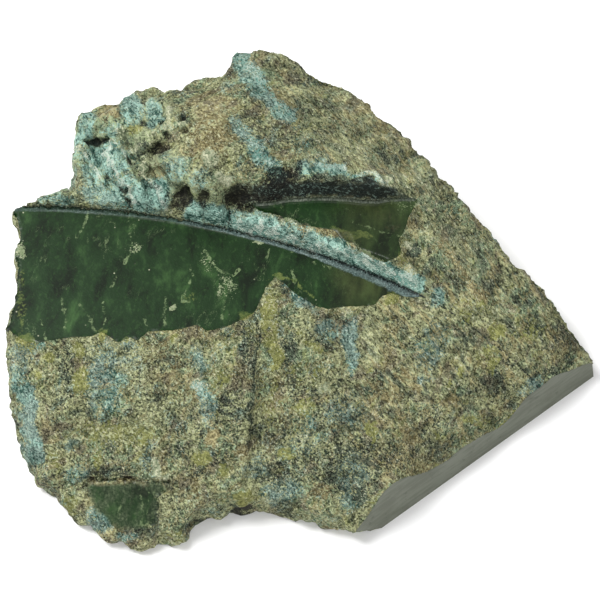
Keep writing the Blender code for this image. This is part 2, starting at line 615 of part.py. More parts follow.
def main():
    clear_scene()
    stone = new_collection("raw_jade_boulder")
    cutters = new_collection("cutters")
    block = Block()
    boulder = make_top(block, stone)
    wall = make_wall(cutters)
    trim = boulder.modifiers.new("trim_to_rim", "BOOLEAN")
    trim.operation = "INTERSECT"
    trim.solver = "EXACT"
    trim.use_self = True
    trim.object = wall
    boulder.data.materials.append(make_material())


main()
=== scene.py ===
"""The look of a rough block of nephrite jade: weathered skin, two saw windows, a sawn side and a flat base.

The shape is worked out from the same lines and heights as the solid model, on a finer mesh, with the skin's
grain and the crystals of the broken faces added. Lengths inside the helper functions are millimetres.
"""

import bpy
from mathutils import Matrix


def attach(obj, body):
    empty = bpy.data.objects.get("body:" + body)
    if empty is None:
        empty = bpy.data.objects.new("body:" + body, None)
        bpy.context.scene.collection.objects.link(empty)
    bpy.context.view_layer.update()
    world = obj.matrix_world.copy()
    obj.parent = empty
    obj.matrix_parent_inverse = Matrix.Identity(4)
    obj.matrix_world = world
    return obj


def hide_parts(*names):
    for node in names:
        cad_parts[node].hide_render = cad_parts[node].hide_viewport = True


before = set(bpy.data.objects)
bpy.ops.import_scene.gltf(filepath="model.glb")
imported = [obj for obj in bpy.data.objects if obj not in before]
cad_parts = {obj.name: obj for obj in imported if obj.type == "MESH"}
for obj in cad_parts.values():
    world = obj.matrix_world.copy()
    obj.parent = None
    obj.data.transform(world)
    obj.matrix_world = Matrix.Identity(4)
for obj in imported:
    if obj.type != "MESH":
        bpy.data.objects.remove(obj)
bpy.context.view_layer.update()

import math

import bmesh
import bpy
import numpy as np
from mathutils import Vector

# ---------------------------------------------------------------- driving dimensions

SKETCH_TILT = 65.0  # degrees: the block is sketched looking down at this angle
SKETCH_RANGE = 924.0  # mm from the eye to the middle of the sketch
SKETCH_FOCUS = 2400.0  # sketch units; with the range above, one unit is 0.385 mm
SKETCH_AIM = 22.0  # mm, the height of the point that the sketch is centred on
ORIGIN_X, ORIGIN_Y = 1.743, 3.904  # mm, from the sketch's centre to the centre of the block's box

GRID_STEP = 0.63  # mm, spacing of the height field
WALL_STEP = 1.35  # mm, spacing round the rim
WALL_LEVELS = tuple(1.3 * i for i in range(41)) + (57.0, 64.0, 80.0)  # mm
SKIRT = -20.0  # mm, how far the height field's solid runs below the base

RIM_ROUND = 2.6  # mm, rounding of the broken rim
KERF = 1.7  # mm, height of the smooth groove where the first cut's floor meets its wall
KERF_2 = 1.3  # mm, the same on the second cut
BREAK_SLOPE = 2.3  # rise over run of the broken wall behind the first cut
WALL_2_SLOPE = 2.9  # rise over run of the sawn wall behind the second cut
WALL_2_HEIGHT = 8.6  # mm
SKIN_LARGE = 0.9  # mm, waviness of the skin over 26 mm
SKIN_SMALL = 0.55  # mm, over 9 mm
WALL_ROUGH = 2.4  # mm, depth of the facets of the broken side walls
BASE_INSET = 1.6  # mm, the foot of the walls stands in from the rim
LEAN_REACH = 14.0  # mm above the rim line over which the front walls keep leaning in
SAW_REACH = 26.0  # mm, the same for the sawn side
EVEN_REACH = 9.0  # mm round the rim over which the wall's raggedness evens out
EVEN_DEPTH = 16.0  # mm below the rim by which it has done so
CORNER_REACH = 26.0  # mm, how far round its ends the sawn side's lean is felt

# Light and colour. Colours are as they look, 0 to 255, the lighter and the darker of the flecks of each kind.
ALBEDO = 0.565
WORLD_LIGHT, KEY_LIGHT, FILL_LIGHT = 0.64, 18.0, 4.6
KHAKI_LIGHT, KHAKI_DEEP = (212, 218, 164), (55, 64, 38)
GREEN_LIGHT, GREEN_DEEP = (166, 192, 150), (42, 62, 41)
TAN_LIGHT, TAN_DEEP = (216, 205, 150), (96, 87, 53)
STREAK_DEEP = (124, 116, 76)
BROWN_LIGHT, BROWN_DEEP = (176, 168, 134), (50, 48, 34)
AQUA_LIGHT, AQUA_DEEP = (194, 240, 222), (40, 88, 76)
YELLOW_LIGHT, YELLOW_DEEP = (198, 200, 124), (84, 92, 44)
# DARK is the stone's dark green; the dark marks also use it as painted shade in recesses, along the crease and on faces
# turned from the light.
DARK_LIGHT, DARK_DEEP = (116, 132, 108), (20, 29, 20)
TEAL_LIGHT, TEAL_DEEP = (178, 208, 192), (50, 77, 68)
# BRIGHT is pale patina and crystal; the pale marks also use it as painted light on the ridge between the cuts and on
# the upper skin.
BRIGHT_LIGHT, BRIGHT_DEEP = (240, 242, 204), (122, 138, 104)
# SLATE: the wall behind the second cut, dark stone made darker as painted shade, as it faces away from the light.
SLATE_AND_SHADE_LIGHT, SLATE_AND_SHADE_DEEP = (116, 140, 130), (22, 34, 31)
# Painted shade: near-black for the hollows, crevices, the step over the small window and the gap under the bottom edge.
HOLLOW_SHADE_LIGHT, HOLLOW_SHADE_DEEP = (66, 64, 48), (12, 13, 9)
STONE_DEEP, STONE, STONE_PALE = (8, 28, 5), (21, 54, 16), (60, 98, 46)
VEIN = (138, 160, 112)
MIST_LIGHT, MIST_DEEP = (116, 130, 98), (48, 64, 40)
OLIVE_LIGHT, OLIVE_DEEP = (74, 82, 42), (30, 38, 16)
GLOW, GLOW_DEEP = (142, 156, 84), (74, 98, 42)
KERF_LIGHT, KERF_MID, KERF_DEEP = (160, 184, 178), (78, 100, 97), (20, 30, 32)
FROST, FROST_DEEP = (226, 244, 230), (112, 162, 148)
GLINT = (238, 238, 204)
GROOVE_LIGHT, GROOVE_DEEP = (136, 146, 128), (58, 68, 56)
SAWN_LIGHT, SAWN_DEEP, SAWN_SPOT = (136, 141, 126), (118, 123, 107), (88, 94, 78)
# How markings are strewn on the walls that the sketch does not show: size in mm, from, to, strength.
SCATTERED = {
    "teal": (30.0, 0.12, 0.45, 0.75), "pale_and_lit": (14.0, 0.40, 0.70, 0.6), "yellow": (22.0, 0.15, 0.5, 0.7), "tan": (26.0, 0.1, 0.5, 0.55),
    "dark_and_shade": (20.0, 0.05, 0.45, 0.55), "hollow_shade": (18.0, 0.62, 0.80, 0.4), "fresh": (34.0, 0.05, 0.4, 0.7), "fibre": (40.0, -0.2, 0.3, 0.7),
}  # fmt: skip

# Points are (u, v, height): u to the right and v down on the sketch, height in mm above the base.

# The outline, clockwise from the top. Along the back it is the upper rim, along the front the foot.
BACK_EDGE = [
    (240, 53, 46), (256, 52, 46), (272, 53, 46), (290, 61, 46), (308, 75, 46), (326, 83, 46),
    (344, 91, 45), (360, 100, 44), (369, 107, 43), (376, 119, 43), (392, 128, 42), (410, 143, 40),
    (424, 159, 39), (440, 176, 37), (456, 192, 36), (472, 216, 34), (488, 233, 32), (504, 255, 30),
    (520, 269, 28), (536, 284, 26), (552, 306, 23), (567, 328, 19), (579, 342, 16), (589, 356, 12),
]  # fmt: skip
SAWN_EDGE = [(593.5, 376.5, 0), (381.7, 528, 0), (366, 531, 5), (354, 533, 9)]
FRONT_EDGE = [
    (346, 531, 6), (338, 529, 5), (326, 526, 4), (312, 521, 4), (296, 517, 4), (284, 512, 4),
    (272, 511, 4), (260, 508, 5), (252, 505, 7), (240, 505, 8), (228, 507, 7), (220, 517, 5),
    (208, 519, 4), (198, 522, 4), (191, 528, 4), (187, 537, 3), (182, 542, 3), (172, 542, 3),
    (160, 539, 3), (152, 544, 3), (142, 548, 3), (132, 545, 3), (123, 541, 4), (108, 540, 4),
    (100, 532, 4), (92, 524, 4), (78, 521, 4), (71, 516, 5), (66, 506, 5), (60, 498, 5),
    (54, 491, 6), (44, 486, 6), (37, 481, 6),
]  # fmt: skip
LEFT_EDGE = [
    (34, 472, 7), (29, 462, 8), (24, 450, 9), (22, 440, 11), (18, 428, 14), (15, 413, 17),
    (12, 403, 20), (13, 395, 23), (9, 385, 26), (11, 376, 28), (10, 362, 31), (7, 348, 34),
    (7, 332, 37), (11, 322, 38), (13, 312, 38), (17, 294, 37), (17, 282, 36.5), (19, 268, 36),
    (16, 254, 36), (20, 243, 36), (19, 226, 35.5), (15, 209, 35), (34, 204, 38), (42, 198, 39),
    (56, 193.5, 40), (73, 192, 40.5), (77, 186, 42), (79, 168, 44), (79, 150, 46), (79, 132, 47),
    (80, 116, 47), (88, 111, 47), (97, 109, 47), (106, 104, 47), (119, 106, 47), (126, 99, 47),
    (131, 93, 47), (143, 90, 47), (150, 87, 47), (157, 86, 47), (165, 93, 47), (174, 91, 47),
    (184, 90, 47), (192, 83, 47), (200, 81, 47), (212, 76, 47), (224, 73, 47), (232, 69, 47),
    (236, 59, 46.5),
]  # fmt: skip

# The first saw cut: a flat floor, dished nowhere, that ends at the arc left by the rim of the blade.
CUT_1 = [(15, 207, 35.0), (430, 297, 37.5), (60, 335, 40.0)]
CUT_1_RIM = [(22, 207), (226, 230.2), (430, 300)]
CUT_1_FRONT = [
    (-10, 329), (10, 329), (17, 336), (38, 343), (57, 339), (76, 337), (91, 336), (102, 332),
    (118, 342), (130, 337), (138, 340), (149, 331), (164, 331), (182, 329), (197, 325), (207, 331),
    (226, 327), (239, 321), (254, 313), (261, 299), (266, 288), (275, 277), (286, 285), (296, 294),
    (308, 301), (318, 307), (328, 309), (340, 307), (358, 306), (375, 305), (383, 296), (391, 293),
    (406, 297), (420, 297.5), (431, 299),
]  # fmt: skip

# The second saw cut, higher up: its floor, the line where its wall rises, and the crest in front of it.
CUT_2 = [(250, 205, 44.0), (408, 205, 44.5), (350, 238, 46.0)]
CUT_2_LINE = [
    (150, 216), (213, 212), (240, 205.5), (270, 204), (289, 200.5), (321, 199), (345, 200), (362, 202),
    (376, 202.5), (391, 200), (421, 199.5), (450, 198),
]  # fmt: skip
CREST = [
    (230, 209), (255, 211), (270, 213), (283, 215), (298, 220), (313, 226.5), (332, 229.6), (351, 238),
    (362, 246), (373, 254), (391, 259), (398, 256),
]  # fmt: skip

# The small window low on the left.
CUT_3 = [(90, 483, 15.0), (165, 484, 15.5), (120, 531, 8.0)]
CUT_3_EDGE = [
    (87, 481), (118, 480.5), (142, 481), (170, 483), (167, 492), (158, 497), (159, 512), (158, 526),
    (143, 530), (120, 531), (107, 522), (94, 512), (88, 496),
]  # fmt: skip

# Heights of the skin, as if neither saw cut had been made.
SKIN = [
    # back slope
    (245, 75, 51), (290, 80, 49.5), (330, 105, 49), (360, 125, 47), (400, 152, 43.5), (430, 182, 41),
    (452, 208, 38), (210, 90, 52), (230, 112, 57), (270, 110, 55.5), (310, 125, 53.5), (350, 145, 51),
    (390, 170, 47), (190, 110, 55.5), (160, 105, 51), (140, 108, 49.5), (110, 115, 48.5),
    # top
    (240, 140, 61), (280, 150, 59.8), (320, 158, 57), (350, 168, 54.5), (375, 175, 52), (400, 186, 48),
    (420, 197, 44.6), (200, 140, 60), (215, 168, 60), (180, 148, 57), (250, 170, 60), (285, 166, 59),
    # broken shoulder on the left
    (160, 138, 54), (140, 130, 51.5), (120, 125, 50), (100, 128, 48.8), (88, 125, 48),
    (150, 160, 51), (170, 166, 54.5), (192, 172, 57.5), (86, 160, 44.8), (100, 152, 44.5),
    (115, 158, 46.5), (130, 163, 48.5), (84, 185, 41.5), (100, 180, 42), (118, 180, 43.5),
    (133, 184, 45.5), (150, 184, 47), (165, 188, 49), (182, 190, 50.5), (202, 190, 53), (218, 187, 55),
    (46, 202, 39.5), (66, 200, 39.5), (84, 200, 39.2), (100, 203, 39.6), (120, 205, 40.5),
    (140, 207, 41.5), (160, 210, 42.3), (180, 212, 43.2), (200, 213, 44.2), (218, 214, 44.8),
    # ridge between the cuts
    (235, 222, 43.2), (255, 228, 43.2), (282, 236, 43), (313, 245, 43), (335, 252, 42.8),
    (353, 259, 42.8), (370, 266, 42.3), (391, 273, 41.3), (408, 279, 40.4), (412, 266, 42.5),
    (424, 280, 40.6), (428, 293, 38.6),
    # beside the second cut
    (409, 246, 43.6), (418, 222, 43.4), (425, 205, 43.2), (432, 240, 42.2), (445, 262, 40),
    # right face
    (440, 300, 37.6), (460, 235, 39), (472, 262, 37), (480, 300, 34.5), (520, 300, 29.5),
    (400, 318, 37.8), (440, 340, 35.5), (480, 340, 31.5), (520, 340, 27.5), (555, 338, 23),
    (400, 360, 35.5), (440, 380, 31), (480, 380, 26.5), (520, 375, 22.5), (400, 400, 32.5),
    (400, 440, 27), (440, 420, 25), (478, 412, 19.5), (350, 360, 37), (350, 400, 33.5),
    (350, 440, 29), (350, 478, 23), (300, 340, 37.5), (300, 380, 34.5), (300, 420, 30.5),
    (300, 460, 25), (300, 490, 18.5), (300, 507, 13), (262, 340, 38.3), (262, 380, 34.6),
    (258, 430, 28.5), (252, 475, 21), (262, 500, 14), (340, 505, 17), (336, 520, 12.5),
    # rim of the sawn side
    (358, 518, 12.5), (365, 507, 15.4), (385, 494, 19.5), (404, 480, 20), (420, 478, 15),
    (440, 468, 12.2), (451, 461, 11.6), (475, 440, 13.2), (495, 431, 10), (511, 416, 12),
    (523, 401, 15.8), (538, 387, 17.2), (552, 377, 17.2), (568, 371, 13.8), (588, 362, 10.5),
    # left face
    (30, 352, 36), (28, 390, 29), (30, 430, 21), (46, 470, 15), (60, 362, 36.6), (100, 362, 36.6),
    (140, 362, 37), (180, 356, 38), (220, 352, 38.8), (246, 345, 39.6), (60, 400, 30.5),
    (100, 400, 31), (140, 400, 31.6), (180, 400, 33), (220, 400, 34.4), (246, 400, 35.4),
    (60, 440, 22.5), (100, 440, 23.8), (140, 440, 24.8), (180, 440, 26.8), (220, 440, 28.8),
    (243, 440, 30), (62, 472, 16.5), (90, 475, 17.8), (130, 475, 18.4), (168, 477, 19.4),
    (200, 480, 21), (235, 480, 22.2), (176, 500, 16.5), (195, 508, 16.5), (215, 506, 16.5),
    (236, 499, 17.5), (172, 528, 9.5), (72, 502, 11.5), (84, 515, 9.5), (108, 531, 7.6),
    (130, 539, 7), (150, 537, 7.2),
]  # fmt: skip

# Ribs (+) and hollows (-) of the broken faces: start, end, height in mm, half width in mm.
RIBS = [
    ((104, 140, 46), (120, 166, 45), 2.2, 2.4), ((120, 166, 45), (136, 204, 42), 2.4, 2.6),
    ((121, 143, 49), (129, 162, 47), 1.4, 1.8), ((142, 160, 51), (172, 211, 43), 1.9, 2.4),
    ((92, 168, 43), (104, 198, 40), 1.2, 2.2), ((89, 140, 46), (103, 146, 45), -3.0, 4.2),
    ((122, 184, 43), (131, 199, 42), -2.4, 2.4), ((149, 182, 47), (158, 194, 46), -2.4, 3.0),
    ((148, 156, 51), (166, 143, 54), -2.6, 3.2), ((176, 192, 50), (190, 204, 46), -4.6, 4.6),
    ((200, 192, 52), (208, 204, 48), -3.2, 3.6), ((228, 196, 50), (246, 194, 50), -5.0, 5.2),
    ((285, 221, 45), (306, 241, 43), 1.2, 1.8), ((270, 216, 45), (291, 236, 43), -0.8, 2.0),
    ((342, 236, 46), (357, 257, 43), 1.1, 1.8), ((314, 232, 45), (334, 250, 43), -0.9, 2.2),
    ((362, 250, 45), (385, 266, 42), 0.9, 1.6), ((405, 244, 43.5), (415, 256, 42.5), -1.8, 2.6),
]  # fmt: skip
CREASE = [(256, 318, 39), (253, 350, 38), (252, 386, 35.5), (247, 430, 30), (243, 470, 23), (238, 500, 17)]
CREASE_DROP = 1.5  # mm, the right face sits lower along the crease


# ---------------------------------------------------------------- layout


def lay(u, v, z):
    """The sketch point (u, v) dropped onto the level z: x and y in mm from the sketch's centre."""
    tilt = math.radians(SKETCH_TILT)
    c, s = math.cos(tilt), math.sin(tilt)
    u, v, z = (np.asarray(a, float) for a in (u, v, z))
    rise = (300.0 - v) / SKETCH_FOCUS
    t = (z - SKETCH_AIM - SKETCH_RANGE * s) / (rise * c - s)
    return t * (u - 300.0) / SKETCH_FOCUS, t * (c + rise * s) - SKETCH_RANGE * c


def plane_through(points):
    """(a, b, c) of z = a + b x + c y through three sketch points."""
    rows, heights = [], []
    for u, v, z in points:
        x, y = lay(u, v, z)
        rows.append((1.0, float(x), float(y)))
        heights.append(z)
    return np.linalg.solve(np.array(rows), np.array(heights))


def level(plane, x, y):
    return plane[0] + plane[1] * x + plane[2] * y


def lay_on(plane, points):
    """Sketch points dropped onto a plane: an array of x, y."""
    u, v = np.array([p[0] for p in points], float), np.array([p[1] for p in points], float)
    z = np.full(len(points), plane[0])
    for _ in range(12):
        x, y = lay(u, v, z)
        z = level(plane, x, y)
    return np.stack([x, y], 1)


def lay_points(points):
    u, v, z = np.array(points, float).T
    return np.stack(lay(u, v, z), 1)


def circle_through(a, b, c):
    """Centre and radius of the circle through three points of the plan."""
    rows = np.array([b - a, c - a]) * 2.0
    right = np.array([b @ b - a @ a, c @ c - a @ a])
    centre = np.linalg.solve(rows, right)
    return centre, float(np.hypot(*(a - centre)))


def along(line, x, y):
    """Signed distance to a polyline (positive on its left) and the share of the way along it."""
    best = np.full(np.shape(x), 1e9)
    side = np.ones(np.shape(x))
    share = np.zeros(np.shape(x))
    steps = np.hypot(*(line[1:] - line[:-1]).T)
    total = steps.sum()
    start = 0.0
    for (ax, ay), (bx, by), length in zip(line[:-1], line[1:], steps, strict=True):
        dx, dy = (bx - ax) / length, (by - ay) / length
        t = np.clip((x - ax) * dx + (y - ay) * dy, 0.0, length)
        off = np.hypot(x - ax - t * dx, y - ay - t * dy)
        near = off < best
        best = np.where(near, off, best)
        side = np.where(near, np.sign(dx * (y - ay) - dy * (x - ax)), side)
        share = np.where(near, (start + t) / total, share)
        start += length
    return best * np.where(side == 0.0, 1.0, side), share


def inside_of(loop, x, y):
    """Distance to a closed loop, negative inside it."""
    closed = np.vstack([loop, loop[:1]])
    away = np.abs(along(closed, x, y)[0])
    odd = np.zeros(np.shape(x), bool)
    for (ax, ay), (bx, by) in zip(closed[:-1], closed[1:], strict=True):
        if ay == by:
            continue
        crosses = (ay > y) != (by > y)
        odd ^= crosses & (x < ax + (y - ay) * (bx - ax) / (by - ay))
    return np.where(odd, -away, away)


def smooth(a, b, value):
    t = np.clip((value - a) / (b - a), 0.0, 1.0)
    return t * t * (3.0 - 2.0 * t)


# ---------------------------------------------------------------- noise


def scatter(ix, iy, iz, seed):
    """A repeatable number from -1 to 1 for each lattice point."""
    h = (ix * 374761393 + iy * 668265263 + iz * 1274126177 + seed * 1442695041) & 0xFFFFFFFF
    h = ((h ^ (h >> 13)) * 1103515245) & 0xFFFFFFFF
    h = ((h ^ (h >> 16)) * 2146121005) & 0xFFFFFFFF
    return ((h ^ (h >> 15)) & 0xFFFF) / 32767.5 - 1.0


def grain(x, y, z, size, seed):
    """Gradient noise, about -1 to 1, with features of the given size."""
    p = [np.asarray(a, float) / size for a in np.broadcast_arrays(x, y, z)]
    cell = [np.floor(a).astype(np.int64) for a in p]
    part = [a - c for a, c in zip(p, cell, strict=True)]
    fade = [f * f * f * (f * (f * 6.0 - 15.0) + 10.0) for f in part]
    total = 0.0
    for i in (0, 1):
        for j in (0, 1):
            for k in (0, 1):
                corner = (cell[0] + i, cell[1] + j, cell[2] + k)
                weight = 1.0
                value = 0.0
                for axis, step in enumerate((i, j, k)):
                    weight = weight * (fade[axis] if step else 1.0 - fade[axis])
                    value = value + scatter(*corner, seed * 3 + axis) * (part[axis] - step)
                total = total + weight * value
    return total * 1.25


def rough(x, y, z, size, seed, octaves):
    """Fractal noise."""
    total, share = 0.0, 1.0
    for octave in range(octaves):
        total = total + share * grain(x, y, z, size, seed + octave)
        size, share = size * 0.5, share * 0.5
    return total


# ---------------------------------------------------------------- the block's surfaces


class Sheet:
    """A smooth sheet through scattered heights: a thin plate, slightly eased."""

    def __init__(self, points, heights, ease):
        self.points = points
        n = len(points)
        gap = np.hypot(points[:, None, 0] - points[None, :, 0], points[:, None, 1] - points[None, :, 1])
        matrix = np.zeros((n + 3, n + 3))
        matrix[:n, :n] = self.kernel(gap) + ease * np.eye(n)
        matrix[:n, n] = matrix[n, :n] = 1.0
        matrix[:n, n + 1 :] = points / 100.0
        matrix[n + 1 :, :n] = points.T / 100.0
        self.weights = np.linalg.solve(matrix, np.concatenate([heights, np.zeros(3)]))

    @staticmethod
    def kernel(gap):
        r = gap / 100.0
        return r * r * np.log(r + 1e-9)

    def __call__(self, x, y):
        total = self.weights[-3] + (self.weights[-2] * x + self.weights[-1] * y) / 100.0
        for (px, py), weight in zip(self.points, self.weights, strict=False):
            total = total + weight * self.kernel(np.hypot(x - px, y - py))
        return total


def skin_sheet():
    """The sheet through the skin heights, the rim and the lines where the cuts run out."""
    points = [lay_points(SKIN)]
    heights = [np.array([p[2] for p in SKIN], float)]
    for edge in (BACK_EDGE, LEFT_EDGE):
        points.append(lay_points(edge)[::2])
        heights.append(np.array([p[2] for p in edge], float)[::2])
    for plane, line, lift in (
        (plane_through(CUT_1), CUT_1_FRONT[1:], 0.0),
        (plane_through(CUT_2), CREST, 0.2),
        (plane_through(CUT_3), CUT_3_EDGE[8:], 0.0),
    ):
        laid = lay_on(plane, line)
        points.append(laid)
        heights.append(level(plane, laid[:, 0], laid[:, 1]) + lift)
    return Sheet(np.vstack(points), np.concatenate(heights), 2e-4)


class Block:
    """The laid-out lines and sheets, and the surfaces that follow from them."""

    def __init__(self):
        self.cut_1, self.cut_2, self.cut_3 = (plane_through(p) for p in (CUT_1, CUT_2, CUT_3))
        self.centre, self.radius = circle_through(*lay_on(self.cut_1, CUT_1_RIM))
        self.line_2 = lay_on(self.cut_2, CUT_2_LINE)
        front = lay_on(self.cut_1, CUT_1_FRONT)
        turn = np.linspace(-8.0, 38.0, 60)
        start = math.atan2(*(lay_on(self.cut_1, [(22, 207)])[0] - self.centre)[::-1])
        arc = [
            self.centre + self.radius * np.array([math.cos(start - math.radians(a)), math.sin(start - math.radians(a))])
            for a in turn
        ]
        arc = np.array([p for p in arc if p[0] < front[-1][0]])
        self.window_1 = np.vstack([arc, front[::-1]])
        self.window_3 = lay_on(self.cut_3, CUT_3_EDGE)
        self.crease = lay_points(CREASE)
        self.sheet = skin_sheet()
        rims = outline(5.0)
        first_sawn, last_sawn = np.flatnonzero(rims[:, 3] > 0.5)[[0, -1]]
        self.rough_rim = np.vstack([rims[last_sawn:, :2], rims[: first_sawn + 1, :2]])
        self.ribs = [
            (np.stack([np.array(lay(*a), float), np.array(lay(*b), float)]), height, width) for a, b, height, width in RIBS
        ]

    def behind_1(self, x, y):
        """Distance behind the arc of the first cut, negative on its floor."""
        return np.hypot(x - self.centre[0], y - self.centre[1]) - self.radius

    def behind_2(self, x, y):
        return along(self.line_2, x, y)[0]

    def skin(self, x, y):
        """The natural and broken skin, with its ribs, its crease and its waviness."""
        z = self.sheet(x, y)
        for line, height, width in self.ribs:
            off = np.abs(along(line, x, y)[0])
            z = z + height * np.exp(-((off / width) ** 2))
        off, share = along(self.crease, x, y)
        fade = smooth(0.0, 0.12, share) * smooth(1.0, 0.9, share)
        z = z - CREASE_DROP * fade * smooth(0.0, 2.2, off) * smooth(30.0, 6.0, off)
        z = z + SKIN_LARGE * rough(x, y, z, 26.0, 11, 2)
        return z + SKIN_SMALL * rough(x, y, z, 9.0, 23, 2)

    def top(self, x, y):
        """The height of the finished top."""
        skin = self.skin(x, y)
        floor_1, floor_2, floor_3 = (level(p, x, y) for p in (self.cut_1, self.cut_2, self.cut_3))
        # In front of the first window the skin runs out at the floor, at no less than a shallow angle.
        out_1 = inside_of(self.window_1, x, y)
        behind_1 = self.behind_1(x, y)
        near = np.where(behind_1 < 0.0, smooth(7.0, 0.0, out_1), 0.0)
        skin = skin + near * (np.minimum(skin, floor_1 - 0.16 * np.maximum(out_1, 0.0)) - skin)
        # The first cut: floor, kerf, then the broken wall.
        step_1 = np.where(
            behind_1 < 0.0,
            KERF * (1.0 - np.sqrt(1.0 - np.clip(1.0 + behind_1 / 1.6, 0.0, 1.0) ** 2)) * 0.8,
            KERF + BREAK_SLOPE * behind_1,
        )
        z = np.where(behind_1 < 0.0, np.where(out_1 < 0.0, floor_1 + step_1, skin), np.minimum(skin, floor_1 + step_1))
        # The second cut: floor, kerf, sawn wall, broken lip.
        behind_2 = self.behind_2(x, y)
        rise = np.clip(behind_2, 0.0, WALL_2_HEIGHT / WALL_2_SLOPE)
        step_2 = np.where(
            behind_2 < 0.0,
            KERF_2 * np.clip(1.0 + behind_2 / 1.4, 0.0, 1.0) ** 2,
            KERF_2 + WALL_2_SLOPE * rise + 0.85 * (np.maximum(behind_2, 0.0) - rise),
        )
        z = np.minimum(z, floor_2 + step_2)
        # The small window.
        out_3 = inside_of(self.window_3, x, y)
        z = z + smooth(0.9, 0.0, out_3) * (np.minimum(z, floor_3) - z)
        # The broken rim is rounded, most where the skin reaches it and least at the window's edge.
        round_off = RIM_ROUND * (1.0 + 0.7 * grain(x, y, 0.0, 17.0, 77)) * np.where(out_1 < 0.0, 0.35, 1.0)
        share = np.clip(1.0 - np.abs(along(self.rough_rim, x, y)[0]) / round_off, 0.0, 1.0)
        return z - round_off * (1.0 - np.sqrt(1.0 - share * share))


# ---------------------------------------------------------------- the outline and its wall


def curve_through(points, closed_ends, step):
    """Points every step along a smooth curve through the given ones (x, y, rim level)."""
    out = []
    count = len(points)
    for i in range(count - 1):
        p0 = points[max(i - 1, 0)] if closed_ends is None else (closed_ends[0] if i == 0 else points[i - 1])
        p1, p2 = points[i], points[i + 1]
        p3 = points[min(i + 2, count - 1)] if closed_ends is None else (closed_ends[1] if i + 2 == count else points[i + 2])
        pieces = max(1, round(float(np.hypot(*(p2 - p1)[:2])) / step))
        for k in range(pieces):
            t = k / pieces
            out.append(
                0.5 * ((2 * p1) + (p2 - p0) * t + (2 * p0 - 5 * p1 + 4 * p2 - p3) * t * t + (3 * p1 - p0 - 3 * p2 + p3) * t**3)
            )
    return out


def outline(step):
    """The rim as rows of x, y, level and a flag that is 1 on the sawn side, clockwise from the top."""

    def laid(points):
        return np.array([(*lay(*p), p[2]) for p in points], float)

    back, sawn, front = laid(BACK_EDGE), laid(SAWN_EDGE), laid(FRONT_EDGE + LEFT_EDGE)
    rows = []
    back_curve = curve_through(back, (front[-1], back[-1]), step) + [back[-1]]
    rows += [(*p, 0.0) for p in back_curve]
    for a, b in zip(sawn[:-1], sawn[1:], strict=True):
        pieces = max(1, round(float(np.hypot(*(b - a)[:2])) / (step * 1.6)))
        rows += [(*(a + (b - a) * k / pieces), 1.0) for k in range(pieces)]
    rows.append((*sawn[-1], 1.0))
    front_curve = curve_through(np.vstack([front, back[:1]]), (front[0], back[1]), step)
    rows += [(*p, 0.0) for p in front_curve]
    return np.array(rows)



def wall_noise(x, y, z):
    """Broken facets: folded noise at two sizes, with its creases running aslant."""
    x, y, z = x + 0.35 * z, y - 0.3 * z, 1.15 * z
    large = np.abs(grain(x, y, z, 34.0, 41)) * 2.6
    return large + 0.9 * np.abs(grain(x, y, z, 15.0, 43)) + 0.35 * grain(x, y, z, 7.0, 47)


def saw_plane():
    """A point, the outward normal and the lean of the sawn side."""
    a, b = (np.array(lay(*p), float) for p in SAWN_EDGE[:2])
    run = (b - a) / np.hypot(*(b - a))
    normal = np.array([-run[1], run[0]])
    end = np.array(lay(*SAWN_EDGE[3]), float)
    return a, normal, -float((end - a) @ normal) / SAWN_EDGE[3][2]


